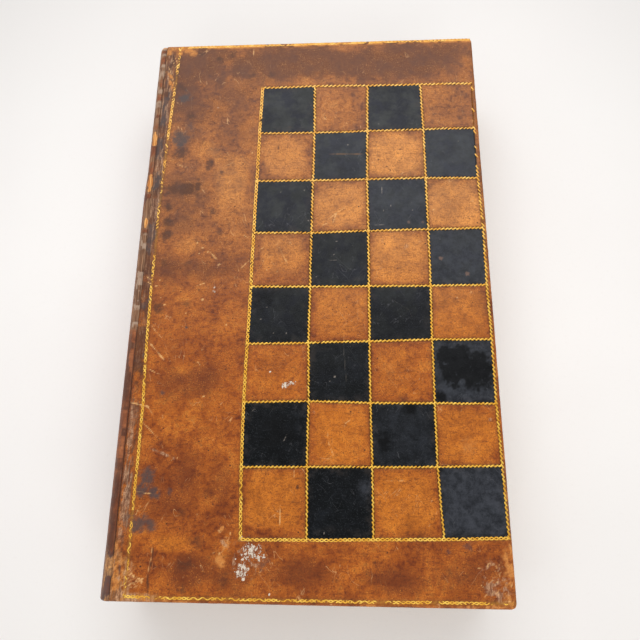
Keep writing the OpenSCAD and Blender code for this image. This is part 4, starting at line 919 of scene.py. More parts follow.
    # painted shade: the turned-over edges darken as they fall away from the face
    deep = sstep(1.5, 4.0, d)
    out["stain_and_shade"] = np.maximum(out["stain_and_shade"], deep * 0.45)
    out["raw"] *= 1 - 0.7 * deep
    cloud = np.zeros(len(x))
    if lid:
        soft = 0.9 * (fbm(a * 2.6, b * 2.6, 18, 4) - 0.5) + 0.5 * (fbm(a * 8, b * 8, 19, 3) - 0.5)
        for u, v, ru, rv, s in LID_CLOUDS:
            near = np.hypot((a - u) / ru, (b - v) / rv)
            if s < 0 and 0 < u < 4 and 0 < v < 8:
                cloud += 0.62 * s * (1 - sstep(0.95, 1.75, near + 0.8 * soft)) * (0.75 + 0.9 * (n2 - 0.3))
            else:
                cloud += s * (1 - sstep(0.2, 1.35, near + soft))
    else:
        cloud = 1.4 * (fbm(a * 0.9, b * 0.9, 28, 4) - 0.45)
    out["splat"] = splat
    inside = (a > 0.01) & (a < 4.0) & (b > 0.01) & (b < 7.99)
    fa, fb = np.abs(a - np.round(a)), np.abs(b - np.round(b))
    near = np.minimum(fa, fb) * SQ + 5.0 * (fbm(a * 6, b * 6, 20, 3) - 0.5)
    out["edge"] = np.where(inside, 1 - sstep(0.5, 7.5, near), 0.0)
    cloud = np.where(inside, cloud - 0.12 + 0.30 * out["edge"], cloud + 0.16)
    out["dark"] = np.clip(cloud, 0, 1)
    out["warm"] = np.clip(-cloud, 0, 1)
    # painted sheen: a ramp from the tail up to the head of the lid that greys and pales the colours towards the head; a
    # fixed 0.35 on the base
    out["painted_head_sheen"] = np.clip(b / 8.0, -0.2, 1.2) if lid else np.clip(0.35 + 0 * b, 0, 1)
    return out


# ---------------------------------------------------------------- leathers
def grain(g, size, seed=0.0):
    """Leather grain height: small rounded cells with finer pores."""
    cells = g.voronoi(size)
    fine = g.voronoi(size * 0.45)
    soft = g.noise(size * 4, 3, 0.6)
    return g.add(g.mul(cells, 0.55), g.add(g.mul(fine, 0.25), g.mul(soft, 0.5)))


def leather_tan():
    g = Mat("leather_natural")
    broad = g.noise(52, 5, 0.6, 0.5)
    mid = g.noise(14, 5, 0.65, 0.4)
    small = g.noise(3.6, 4, 0.65, 0.3)
    fine = g.noise(1.1, 3, 0.7)
    wrinkle = g.noise(0, 4, 0.65, 0.7, stretch=(6.5, 1.3, 3.0))
    fibre = g.noise(0, 4, 0.65, 0.5, stretch=(1.2, 5.0, 3.0))
    # painted sheen: towards the head the tan turns greyer and paler, with weaker fine speckle
    painted_head_sheen = g.rng(g.attr("painted_head_sheen"), 0.30, 0.72)
    tone = g.add(g.add(g.mul(broad, 0.22), g.mul(mid, 0.36)), g.mul(small, 0.42))
    low = g.ramp(tone, [(0.38, lin(106, 44, 12)), (0.46, lin(150, 74, 18)), (0.54, lin(186, 100, 24)), (0.64, lin(218, 134, 44))])
    high = g.ramp(tone, [(0.38, lin(94, 50, 26)), (0.46, lin(138, 80, 38)), (0.54, lin(178, 108, 50)), (0.64, lin(210, 138, 72))])
    base = g.mix(painted_head_sheen, low, high)
    warm = g.mul(g.attr("warm"), g.rng(tone, 0.40, 0.58, 0.55, 1.0))
    base = g.mix(warm, base, g.mix(painted_head_sheen, lin(232, 140, 36), lin(250, 168, 84)))
    dark = g.rng(g.add(g.attr("dark"), g.mul(g.sub(small, 0.5), 0.5)), 0.0, 0.95)
    base = g.mix(g.mul(dark, 0.86), base, g.mix(painted_head_sheen, g.mix(mid, lin(84, 34, 10), lin(124, 58, 22)), g.mix(mid, lin(82, 46, 28), lin(116, 70, 42))))
    # fine wrinkles, pores, painted glints and hair scratches
    dots = g.noise(0.8, 2, 0.7)
    base = g.mix(g.mul(g.rng(small, 0.52, 0.66), 0.42), base, g.mix(painted_head_sheen, lin(106, 44, 14), lin(100, 54, 30)))
    base = g.mix(g.mul(g.attr("halo"), 0.60), base, lin(62, 34, 16))
    vein = g.math("ABSOLUTE", g.sub(g.noise(2.8, 2, 0.5, 1.3), 0.5))
    base = g.mix(g.mul(g.rng(vein, 0.026, 0.002), g.rng(mid, 0.40, 0.56, 0.25, 0.6)), base, lin(88, 38, 12))
    base = g.mix(g.mul(g.rng(wrinkle, 0.52, 0.70), 0.52), base, lin(88, 40, 14))
    base = g.mix(g.mul(g.rng(fibre, 0.55, 0.72), 0.38), base, lin(86, 42, 18))
    base = g.mix(g.mul(g.rng(fine, 0.53, 0.66), g.fmix(painted_head_sheen, 0.50, 0.30)), base, lin(74, 34, 12))
    base = g.mix(g.mul(g.rng(dots, 0.58, 0.70), g.fmix(painted_head_sheen, 0.38, 0.22)), base, lin(66, 32, 14))
    # painted glints: small light orange specks where the grain would catch the light
    base = g.mix(g.mul(g.rng(dots, 0.42, 0.30), g.mul(g.rng(mid, 0.40, 0.58), 0.50)), base, g.mix(painted_head_sheen, lin(236, 150, 58), lin(232, 168, 104)))
    for k, (turn, st) in enumerate(((32, (7.0, 30.0, 9.0)), (-41, (6.5, 28.0, 9.0)), (12, (6.0, 30.0, 9.0)))):
        hair = g.math("ABSOLUTE", g.sub(g.noise(0, 1.5, 0.5, 0.2, vec=g.twist(turn, *st)), 0.5))
        where = g.noise(0, 3, 0.6, stretch=(13.0 + 3 * k, 15.0, 9.0))
        base = g.mix(g.mul(g.rng(hair, 0.008, 0.0), g.mul(g.rng(where, 0.58, 0.68), 0.55)), base, lin(230, 176, 118))
    pit = g.voronoi(6.0)
    base = g.mix(g.mul(g.rng(pit, 0.14, 0.03), g.rng(mid, 0.44, 0.58)), base, lin(52, 28, 18))
    raw, stain_and_shade, blue, scuff = g.attr("raw"), g.attr("stain_and_shade"), g.attr("blue"), g.attr("scuff")
    ragged = g.noise(2.4, 5, 0.75)
    def edge(mark, lo=0.10, hi=0.80):
        return g.rng(g.add(mark, g.mul(g.sub(ragged, 0.5), 0.75)), lo, hi)
    base = g.mix(g.mul(g.mul(edge(stain_and_shade), g.rng(stain_and_shade, 0.0, 0.12)), 0.80), base, g.mix(ragged, lin(54, 32, 22), lin(86, 48, 28)))
    base = g.mix(g.mul(g.mul(edge(blue), g.rng(blue, 0.0, 0.12)), 0.80), base, g.mix(ragged, lin(46, 46, 54), lin(82, 72, 68)))
    base = g.mix(g.mul(g.mul(edge(raw), g.rng(raw, 0.0, 0.12)), 0.85), base, g.mix(ragged, lin(176, 96, 34), lin(232, 162, 84)))
    streak = g.rng(g.noise(0, 3, 0.6, 0.3, stretch=(0.9, 8.0, 3.0)), 0.40, 0.60)
    pale = g.mix(g.mul(g.rng(dots, 0.42, 0.60), 0.45), g.mix(streak, lin(136, 94, 68), lin(206, 162, 126)), lin(110, 74, 52))
    base = g.mix(g.mul(g.mul(edge(scuff), g.rng(scuff, 0.0, 0.12)), 0.75), base, pale)
    base = g.mix(g.mul(g.mul(g.mx(raw, scuff), g.rng(dots, 0.54, 0.62)), 0.48), base, lin(92, 54, 32))
    gild = g.mul(g.attr("gild"), g.rng(g.noise(1.6, 3, 0.7), 0.36, 0.56, 0.25, 1.0))
    base = g.mix(g.mul(gild, 0.75), base, lin(186, 128, 44))
    # painted reflection: a pale greyish sheen where the sheen blots lie
    painted_sheen = g.attr("painted_sheen")
    base = g.mix(g.mul(edge(painted_sheen), g.mul(painted_sheen, 0.3)), base, lin(150, 120, 98))
    # painted shade: darker where the sheen is missing
    base = g.mix(g.mul(g.attr("sheenless_shade"), 0.6), base, lin(80, 42, 18))
    lite = g.rng(g.attr("lite"), 0.1, 0.8)
    base = g.mix(g.mul(lite, g.rng(ragged, 0.3, 0.6, 0.45, 0.85)), base, lin(232, 180, 116))
    white = g.rng(g.add(g.attr("white"), g.mul(g.sub(g.noise(1.3, 3, 0.7), 0.5), 0.9)), 0.30, 0.62)
    splat = g.attr("splat")
    flecks = g.add(g.mul(g.noise(0, 3, 0.65, 1.2, stretch=(2.6, 4.4, 3.0)), 0.55), g.mul(g.noise(1.0, 3, 0.75, 0.8), 0.45))
    base = g.mix(g.mul(g.rng(g.add(g.mul(splat, 0.30), flecks), 0.70, 0.80), g.mul(splat, 0.55)), base, g.mix(ragged, lin(104, 72, 56), lin(176, 132, 104)))
    flake = g.mul(g.rng(g.add(g.mul(splat, 0.30), flecks), 0.772, 0.812), g.rng(splat, 0.04, 0.2))
    white = g.mx(white, flake)
    base = g.mix(g.mul(white, 0.9), base, g.mix(ragged, lin(206, 190, 168), lin(236, 228, 214)))
    rough = g.add(g.rng(mid, 0.3, 0.75, 0.36, 0.54), g.mul(g.mx(raw, scuff), 0.18))
    h = g.add(grain(g, 1.2), g.mul(wrinkle, 0.9))
    h = g.add(h, g.mul(white, 0.8))
    return g.done(base, rough, g.bump(h, 0.13, 0.9), spec=0.27)


def leather_black():
    g = Mat("leather_black")
    broad = g.noise(30, 4, 0.6)
    mid = g.noise(7, 4, 0.6)
    fine = g.noise(1.0, 3, 0.7)
    wrinkle = g.noise(0, 4, 0.65, 0.5, stretch=(7.0, 1.5, 3.0))
    base = g.ramp(g.add(g.mul(broad, 0.5), g.mul(mid, 0.5)), [(0.38, lin(2, 4, 6)), (0.52, lin(6, 9, 13)), (0.66, lin(20, 24, 30))])
    # painted sheen: the black squares grey towards the head
    head_sheen_grey = g.mul(g.rng(g.attr("painted_head_sheen"), 0.15, 0.95), g.rng(g.add(g.mul(broad, 0.5), g.mul(mid, 0.5)), 0.36, 0.62, 0.5, 1.0))
    tint = g.rng(g.noise(13, 4, 0.65), 0.40, 0.60)
    base = g.mix(g.mul(head_sheen_grey, 0.62), base, g.mix(tint, lin(60, 61, 70), lin(79, 81, 81)))
    base = g.mix(g.mul(g.rng(fine, 0.54, 0.68), 0.46), base, lin(54, 58, 62))
    base = g.mix(g.mul(g.rng(wrinkle, 0.56, 0.72), 0.5), base, lin(38, 40, 45))
    for k, (turn, st) in enumerate(((38, (6.0, 26.0, 9.0)), (-35, (5.5, 24.0, 9.0)))):
        hair = g.math("ABSOLUTE", g.sub(g.noise(0, 1.5, 0.5, 0.2, vec=g.twist(turn, *st)), 0.5))
        where = g.noise(0, 3, 0.6, stretch=(11.0 + 3 * k, 14.0, 9.0))
        base = g.mix(g.mul(g.rng(hair, 0.008, 0.0), g.mul(g.rng(where, 0.52, 0.64), 0.5)), base, lin(92, 92, 96))
    base = g.mix(g.mul(g.attr("edge"), g.mul(g.rng(mid, 0.45, 0.65), 0.35)), base, lin(66, 58, 52))
    ragged = g.noise(2.2, 5, 0.75)
    def edge(mark, lo=0.12, hi=0.75):
        m = g.attr(mark)
        return g.mul(g.rng(g.add(m, g.mul(g.sub(ragged, 0.5), 0.7)), lo, hi), g.rng(m, 0.0, 0.12))
    # painted reflection: a bluish grey sheen over the black
    base = g.mix(g.mul(g.attr("painted_sheen"), g.rng(g.add(g.mul(ragged, 0.6), g.mul(mid, 0.4)), 0.40, 0.60, 0.40, 0.85)), base, g.mix(mid, lin(49, 52, 59), lin(79, 82, 90)))
    # painted shade: deeper black where the sheen is missing
    base = g.mix(g.mul(edge("sheenless_shade"), 0.9), base, lin(5, 6, 8))
    base = g.mix(g.mul(edge("scuff"), 0.55), base, lin(132, 104, 90))
    base = g.mix(g.mul(edge("raw"), 0.42), base, lin(140, 104, 72))
    base = g.mix(g.mul(edge("stain_and_shade"), 0.45), base, lin(84, 70, 58))
    lite = g.rng(g.attr("lite"), 0.15, 0.8)
    base = g.mix(g.mul(lite, g.rng(ragged, 0.3, 0.6, 0.25, 0.62)), base, lin(160, 150, 140))
    flake = g.mul(g.rng(g.add(g.mul(g.attr("splat"), 0.30), g.noise(2.0, 4, 0.70, 0.5)), 0.82, 0.86), g.rng(g.attr("splat"), 0.04, 0.2))
    base = g.mix(g.mul(g.mx(g.rng(g.attr("white"), 0.2, 0.6), flake), 0.9), base, lin(210, 206, 198))
    gild = g.mul(g.attr("gild"), g.rng(g.noise(1.6, 3, 0.7), 0.40, 0.60, 0.1, 1.0))
    base = g.mix(g.mul(gild, 0.65), base, lin(150, 104, 44))
    rough = g.add(g.rng(mid, 0.3, 0.7, 0.36, 0.52), g.mul(g.attr("sheenless_shade"), -0.06))
    return g.done(base, rough, g.bump(g.add(grain(g, 0.95), g.mul(wrinkle, 0.7)), 0.10, 0.8), spec=0.14)


def leather_spine():
    g = Mat("leather_spine")
    broad = g.noise(30, 5, 0.6, 0.3)
    mid = g.noise(8, 4, 0.62, 0.3)
    fine = g.noise(1.6, 3, 0.65)
    streak = g.noise(0, 4, 0.6, 0.4, stretch=(4.0, 1.3, 4.0))
    base = g.ramp(
        g.add(g.mul(broad, 0.5), g.mul(mid, 0.5)),
        [(0.38, lin(92, 46, 24)), (0.5, lin(128, 70, 38)), (0.60, lin(156, 92, 54)), (0.7, lin(176, 112, 70))],
    )
    base = g.mix(g.mul(g.rng(streak, 0.5, 0.75), 0.4), base, lin(66, 36, 24))
    base = g.mix(g.mul(g.rng(fine, 0.45, 0.8), 0.3), base, lin(52, 30, 20))
    ragged = g.noise(2.4, 4, 0.7)
    def edge(mark, lo=0.18, hi=0.62):
        return g.rng(g.add(g.attr(mark), g.mul(g.sub(ragged, 0.5), 0.6)), lo, hi)
    along = g.rng(g.noise(0, 3, 0.6, 0.3, stretch=(0.8, 16.0, 0.8)), 0.40, 0.60)
    base = g.mix(g.mul(edge("stain_and_shade"), 0.8), base, g.mix(ragged, lin(52, 28, 20), lin(92, 50, 34)))
    base = g.mix(g.mul(edge("blue"), 0.75), base, g.mix(ragged, lin(66, 60, 62), lin(96, 84, 80)))
    base = g.mix(g.mul(edge("scuff"), 0.80), base, g.mix(along, lin(96, 66, 46), lin(160, 124, 94)))
    base = g.mix(g.mul(edge("raw"), 0.95), base, g.mix(along, lin(190, 116, 50), lin(238, 176, 104)))
    base = g.mix(g.mul(g.rng(g.attr("lite"), 0.15, 0.75), 0.8), base, lin(214, 190, 168))
    h = g.add(grain(g, 1.3), g.mul(streak, 0.8))
    rough = g.add(g.rng(mid, 0.3, 0.7, 0.44, 0.60), g.mul(g.attr("scuff"), 0.15))
    return g.done(base, rough, g.bump(h, 0.14, 0.8), spec=0.26)


def gilt():
    g = Mat("gilt")
    mid = g.noise(5, 4, 0.65)
    fine = g.noise(0.9, 3, 0.7)
    base = g.mix(g.rng(mid, 0.35, 0.7), lin(226, 164, 42), lin(252, 210, 92))
    # painted sheen: the gold turns paler towards the head
    base = g.mix(g.mul(g.rng(g.attr("painted_head_sheen"), 0.30, 0.85), 0.60), base, g.mix(g.rng(mid, 0.35, 0.7), lin(206, 140, 62), lin(238, 190, 116)))
    worn = g.rng(fine, 0.58, 0.72)
    base = g.mix(g.mul(worn, 0.75), base, lin(128, 78, 28))
    rough = g.rng(fine, 0.3, 0.75, 0.36, 0.6)
    return g.done(base, rough, g.bump(fine, 0.05, 0.8), metal=g.fmix(worn, 0.55, 0.1), spec=0.5)


# ---------------------------------------------------------------- gilt lines
def depth_here(x, y, lid, xn, yn):
    """Depth of the cover's surface at a tooled line."""
    return swell(x, y, lid) + 0.26


def line_points(p, q, step):
    n = max(2, int(math.dist(p, q) / step))
    t = np.linspace(0, 1, n + 1)
    return p[0] + (q[0] - p[0]) * t, p[1] + (q[1] - p[1]) * t


def frame_of(x, y):
    tx, ty = np.gradient(x), np.gradient(y)
    n = np.hypot(tx, ty) + 1e-9
    s = np.concatenate([[0], np.cumsum(np.hypot(np.diff(x), np.diff(y)))])
    return s, tx / n, ty / n


def keep_of(x, y, wear, seed):
    """How much gold is left along a line, 0 to 1; wear is the share lost."""
    n = 0.42 * fbm(x / 8, y / 8, seed, 3) + 0.58 * fbm(x / 1.7, y / 1.7, seed + 1, 2)
    lo = 0.20 + 0.5 * np.asarray(wear)
    return sstep(lo, lo + 0.13, n)


def tube(parts, xs, ys, ds, widths, height):
    """A low half-round strand along points, in depth coordinates."""
    m = len(xs)
    if m < 3:
        return
    _, tx, ty = frame_of(xs, ys)
    nx, ny = -ty, tx
    V = []
    for off, up in ((-0.5, -0.06), (-0.3, 0.75), (0.0, 1.0), (0.3, 0.75), (0.5, -0.06)):
        V.append(np.stack([xs + nx * widths * off, ys + ny * widths * off, ds - np.where(up > 0, height * up, -0.05) * np.minimum(widths / 0.7, 1)], -1))
    V = np.stack(V, 1)
    parts["v"].append(V.reshape(-1, 3))
    base = parts["n"]
    parts["q"].append(grid_faces(m, 5, base, wrap=True))
    parts["p"].append(np.array([[base + k for k in range(5)]]))
    parts["p"].append(np.array([[base + (m - 1) * 5 + k for k in (4, 3, 2, 1, 0)]]))
    parts["n"] += 5 * m


def strand(parts, xs, ys, ds, keep, width, height):
    """Tubes along the runs where gold is left."""
    on = keep > 0.12
    k, m = 0, len(xs)
    while k < m:
        if not on[k]:
            k += 1
            continue
        e = k
        while e + 1 < m and on[e + 1]:
            e += 1
        if e - k >= 3:
            sl = slice(k, e + 1)
            w = (width[sl] if isinstance(width, np.ndarray) else width) * (0.45 + 0.55 * keep[sl])
            w[0] *= 0.4
            w[-1] *= 0.4
            tube(parts, xs[sl], ys[sl], ds[sl], w, height)
        k = e + 1


def chain(parts, p, q, lid, wear, seed, pitch=3.1, amp=0.80, width=0.95):
    xn, yn = line_points(p, q, 0.36 if lid else 0.6)
    x, y = wander(xn, yn, lid)
    s, tx, ty = frame_of(x, y)
    d = np.maximum(depth_here(x, y, lid, xn, yn), 0.16)
    w = wear(xn, yn) if callable(wear) else np.full(len(x), wear)
    grow = 1 + 0.38 * np.clip((y - G0Y) / (8 * SQ), 0, 1) * lid
    for side in (-1, 1):
        off = side * amp * grow * np.sin(math.pi * s / pitch + seed)
        xs, ys = x - ty * off, y + tx * off
        xs = np.minimum(xs, X_H - 0.3)
        ys = np.clip(ys, -HALF + 0.15, HALF - 0.15)
        edge = np.maximum(np.abs(ys) - (HALF - RHO), 0)
        edge = np.maximum(edge, np.maximum(xs - (X_H - RHO), 0))
        de = d + RHO * (1 - np.sqrt(np.clip(1 - (edge / RHO) ** 2, 0, 1)))
        strand(parts, xs, ys, de, keep_of(x, y, w, seed * 7 + 3 + (side > 0)), width * grow, 0.15)


def rope(parts, p, q, lid, wear, seed, slant, pitch=2.75, half_len=1.78, half_wid=0.62):
    length = math.dist(p, q)
    far = lambda yy: min(max((yy - G0Y) / (8 * SQ), 0.0), 1.0) * lid
    t, at = [], 0.0
    while at < length - 0.5 * pitch:
        step = pitch * (1 + 0.26 * far(p[1] + (q[1] - p[1]) * at / length))
        t.append((at + step / 2) / length)
        at += step
    t = np.array(t) * min(1.0, 1 / (at / length))
    n = len(t)
    xn, yn = p[0] + (q[0] - p[0]) * t, p[1] + (q[1] - p[1]) * t
    x, y = wander(xn, yn, lid)
    _, tx, ty = frame_of(x, y)
    w = wear(xn, yn) if callable(wear) else wear
    keep = np.maximum(keep_of(x, y, w, seed * 7 + 3), 0.5 * (np.asarray(w) < 0.30))
    d = np.maximum(depth_here(x, y, lid, xn, yn), 0.16)
    r = np.random.RandomState(seed + (0 if lid else 50))
    jitter = r.uniform(-0.12, 0.12, (n, 2))
    # the thin ground line that the twist is struck over
    fx, fy = line_points(p, q, 0.8)
    gx, gy = wander(fx, fy, lid)
    fw = wear(fx, fy) if callable(wear) else wear
    strand(parts, gx, gy, np.maximum(depth_here(gx, gy, lid, fx, fy), 0.16), keep_of(gx, gy, fw, seed * 7 + 3), 0.50, 0.03)
    for k in range(n):
        if keep[k] < 0.15:
            continue
        ca, sa = math.cos(slant), math.sin(slant)
        ux, uy = tx[k] * ca - ty[k] * sa, tx[k] * sa + ty[k] * ca
        vx, vy = -uy, ux
        half = half_len * (0.6 + 0.4 * keep[k]) * (1 + 0.50 * far(y[k]))
        wid = half_wid * (0.6 + 0.4 * keep[k]) * (1 + 0.12 * far(y[k]))
        pts = []
        for f, g_ in ((-1, 0.2), (-0.6, 0.8), (0.05, 1.0), (0.7, 0.75), (1, -0.2), (0.6, -0.8), (-0.05, -1.0), (-0.7, -0.75)):
            bend = -0.42 * f * abs(f) + 0.10 * math.sin(f * 3.0)
            pts.append((f * half, g_ * wid + bend))
        pts = np.array(pts)
        cx, cy = x[k] + jitter[k, 0], y[k] + jitter[k, 1]
        V = []
        for shrink, dep in ((1.0, 0.05), (0.62, -0.13)):
            px = cx + ux * pts[:, 0] * shrink + vx * pts[:, 1] * shrink
            py = cy + uy * pts[:, 0] * shrink + vy * pts[:, 1] * shrink
            V.append(np.stack([px, py, np.full(8, d[k] + dep)], -1))
        base = parts["n"]
        parts["v"].append(np.concatenate(V))
        a = np.arange(8)
        b = (a + 1) % 8
        parts["q"].append(np.stack([base + a, base + 8 + a, base + 8 + b, base + b], -1))
        parts["o"].append((base + a)[None, :])
        parts["o"].append((base + 8 + a[::-1])[None, :])
        parts["n"] += 16


def new_parts():
    return {"v": [], "q": [], "p": [], "o": [], "n": 0}


def bands(spec, rest):
    """Wear along a line: spec is (lo, hi, wear) in square coordinates of the running axis."""
    def f(xn, yn):
        run = (yn - G0Y) / SQ if np.ptp(yn) > np.ptp(xn) else (xn - G0X) / SQ
        w = np.full(len(run), rest, float)
        for lo, hi, v in spec:
            w = np.where((run > lo) & (run < hi), v, w)
        return w
    return f


def gilt_lines(lid, mat, body, tray):
    parts = new_parts()
    t, b = GY[-2], GY[1]
    if lid:
        left = bands([(8.4, 9.1, 0.5), (7.95, 8.4, 0.66), (6.95, 7.95, 0.22), (5.0, 6.95, 0.50), (4.6, 5.0, 0.95), (3.0, 4.6, 0.3), (0.2, 0.35, 0.95), (-0.3, 0.2, 0.4), (-0.9, -0.3, 0.55)], 0.2)
        low = bands([(-0.3, -0.15, 0.6), (2.0, 2.25, 0.65), (2.8, 2.95, 0.7), (3.6, 4.1, 0.75)], 0.28)
        high = bands([(-2.0, -1.5, 0.45), (2.6, 3.2, 0.4)], 0.22)
    else:
        left, low, high = bands([(2.0, 2.4, 0.8), (6.1, 6.5, 0.8)], 0.25), bands([], 0.3), bands([], 0.3)
    chain(parts, (GX[1], b), (GX[1], t), lid, left, 1)
    chain(parts, (GX[1], b), (G4X + 0.6, b), lid, low, 2, amp=0.70, width=0.92)
    chain(parts, (GX[1] - 6.0, t), (G4X + 0.6, t), lid, high, 3, amp=0.62, width=1.05)
    if lid:  # the twist that runs on past the board's left line
        rope(parts, (G0X - 3.6, G0Y + 6 * SQ), (G0X, G0Y + 6 * SQ), lid, 0.0, 55, math.radians(38), 1.8)
    chain(parts, (G0X, G0Y), (G0X, G8Y), lid, 0.12, 4, amp=0.84)
    rope(parts, (G4X - 0.1, b), (G4X - 0.1, t), lid, bands([(-0.9, -0.05, 0.85), (8.05, 9.1, 0.9), (6.4, 8.05, 0.48), (5.0, 6.4, 0.38)] if lid else [], 0.12), 5, math.radians(37), 2.9, 1.95, 0.64)
    chain(parts, (G0X, G0Y), (G4X, G0Y), lid, 0.12, 6)
    rope(parts, (G0X, G8Y), (G4X, G8Y), lid, 0.0, 7, math.radians(38), 2.8, 1.9, 0.70)
    for j in range(1, 8):
        rope(parts, (G0X, G0Y + SQ * j), (G4X, G0Y + SQ * j), lid, 0.05 + 0.06 * ((j * 5) % 3), 20 + j, math.radians(38), 2.7)
    for i in range(1, 4):
        rope(parts, (G0X + SQ * i, G0Y), (G0X + SQ * i, G8Y), lid, 0.05 + 0.06 * (i % 2), 30 + i, math.radians(38), 2.7)
    V = np.concatenate(parts["v"])
    # the painted sheen ramp for the gold, tail to head on the lid
    painted_head_sheen = {"painted_head_sheen": np.clip((V[:, 1] - G0Y) / SQ / 8, 0, 1) if lid else np.full(len(V), 0.3)}
    return piece(f"{tray}_gilt_tooling", V, [np.concatenate(parts["q"]), np.concatenate(parts["p"]), np.concatenate(parts["o"])],
                 body, mat, lid, attrs=painted_head_sheen)


# ---------------------------------------------------------------- spine
SP_X, ZC, SP_R = -115.544, 18.925, 22.481
BANDS_Y = [-148.0, -74.0, 0.0, 74.0, 148.0]


def spine_profile():
    """Outer line of the spine from the cover's joint round to the opening, (x, depth)."""
    pts = [(0.0, 1.66), (-0.6, 1.58), (-1.4, 1.28), (-2.4, 1.36), (-3.4, 1.95), (-4.6, 3.05), (-6.0, 4.9), (-7.25, 7.6)]
    pts = [(X_C + a, b) for a, b in pts]
    a0 = math.asin((ZC - 12.2) / SP_R)
    for k in range(14):
        a = a0 - (a0 + math.asin(18.425 / SP_R)) * k / 13
        pts.append((SP_X - SP_R * math.cos(a), ZC - SP_R * math.sin(a)))
    pts = np.array(pts)
    fine = [pts[0]]
    for k in range(len(pts) - 1):
        p0, p1, p2, p3 = pts[max(k - 1, 0)], pts[k], pts[k + 1], pts[min(k + 2, len(pts) - 1)]
        n = 3 if k < 9 else 2
        for m in range(1, n + 1):
            t = m / n
            fine.append(0.5 * (2 * p1 + (p2 - p0) * t + (2 * p0 - 5 * p1 + 4 * p2 - p3) * t * t + (3 * p1 - p0 - 3 * p2 + p3) * t**3))
    fine = np.array(fine)
    fine[-1, 0] = X_C
    fine[:, 0] = np.minimum(fine[:, 0], X_C)
    return fine


def spine_skin(lid, mat, body, tray):
    prof = spine_profile()
    n = len(prof)
    marks = sorted([-220.8, 220.8] + [y + s for y in BANDS_Y for s in (-4.4, -3.5, -2.6, -1.6, 1.6, 2.6, 3.5, 4.4)])
    ys = spread(marks, (1.1 if lid else 3.2) * (1))
    arc = [(220.8 + 1.2 * math.sin(e), 1.2 * (1 - math.cos(e))) for e in (0.35, 0.75, 1.15, math.pi / 2)]
    stations = [(-a, s) for a, s in arc[::-1]] + [(y, 0.0) for y in ys] + arc
    Y = np.array([s[0] for s in stations])[:, None] * np.ones(n)
    S = np.array([s[1] for s in stations])[:, None]
    rx, rz = prof[:, 0] - SP_X, prof[:, 1] - ZC
    rr = np.hypot(rx, rz)
    ang = np.degrees(np.abs(np.arctan2(rz, -rx)))
    full = (1 - sstep(7, 25, ang))[None, :]
    band = np.zeros_like(Y[:, 0])
    for c in BANDS_Y:
        band = np.maximum(band, np.sqrt(np.clip(1 - ((Y[:, 0] - c) / 4.4) ** 2, 0, 1)))
    seed = 120 if lid else 140
    lump = 0.35 * (fbm(Y / 14, ang[None, :] / 12 + 0 * Y, seed, 3) - 0.5)
    hollow = -0.35 * np.exp(-((np.abs(prof[:, 0] - X_C) / 1.2) ** 2))[None, :] * 0
    fuller = 0.95 * np.exp(-(((ang - 27.0) / 13.0) ** 2))[None, :] * (prof[:, 1] < ZC)[None, :] * (1 - sstep(70, 110, Y))
    R = rr[None, :] - S * 1.0 + fuller + 1.15 * band[:, None] * full + lump * sstep(1.0, 6.0, X_C - prof[:, 0])[None, :] + hollow
    X = SP_X + rx[None, :] / rr[None, :] * R
    Z = ZC + rz[None, :] / rr[None, :] * R
    X[:, [0, -1]] = X_C
    X = np.clip(X, -139.2, X_C)
    Z = np.maximum(Z, 0.35)
    outer = np.stack([X, Y, Z], -1).reshape(-1, 3)
    m = len(stations)
    V, count = [outer], m * n
    # inside, over the block
    a1 = math.asin(17.19 / 21.5)
    inner_prof = np.array([(SP_X - 21.5 * math.cos(a1 - 2 * a1 * k / 15), ZC - 21.5 * math.sin(a1 - 2 * a1 * k / 15)) for k in range(16)])
    inner_prof[[0, -1], 0] = X_C
    for y in (-220.8, 220.8):
        V.append(np.stack([inner_prof[:, 0], np.full(16, y), inner_prof[:, 1]], -1))
    V = np.concatenate(V)
    q = grid_faces(m, n)
    qi = grid_faces(2, 16, count)
    caps = [np.arange(n)[None, :], (np.arange(n) + (m - 1) * n)[None, ::-1]]
    icaps = [(count + np.arange(16))[None, :], (count + 16 + np.arange(16))[None, :]]
    A = np.arange(m) * n  # joint line
    B = A + n - 1
    a = [count, count + 16]
    b = [count + 15, count + 31]
    plane = [
        np.concatenate([A, [a[1], a[0]]])[None, :],
        np.concatenate([B, [b[1], b[0]]])[None, :],
        np.array([[A[0], a[0], b[0], B[0]]]),
        np.array([[A[-1], a[1], b[1], B[-1]]]),
    ]
    P = spine_marks(V, lid)
    groups = [q, *caps, *plane, qi, *icaps]
    total = np.concatenate([[0], np.cumsum(np.hypot(np.diff(prof[:, 0]), np.diff(prof[:, 1])))])
    U = np.zeros((len(V), 2))
    U[: m * n] = np.stack([(Y / 444 + 0.5) * 0.98 + 0.01, np.broadcast_to(0.01 + 0.7 * total / total[-1], Y.shape)], -1).reshape(-1, 2)
    flat = np.stack([0.02 + (V[:, 0] + 140) / 400 + (V[:, 1] > 0) * 0.3, 0.76 + V[:, 2] / 200], -1)
    tiny = np.stack([0.90 + (V[:, 1] + 222) / 6000, 0.80 + V[:, 2] / 3000], -1)
    uvs = [U[q], flat[caps[0]], flat[caps[1]]] + [tiny[f] for f in groups[3:]]
    groups, uvs = orient(groups, uvs)
    return piece(f"{tray}_spine_skin", V, groups, body, mat, lid,
                 (f"{tray}_spine_leather", f"{tray}_raised_bands"), True, P, uvs, sharp=50)


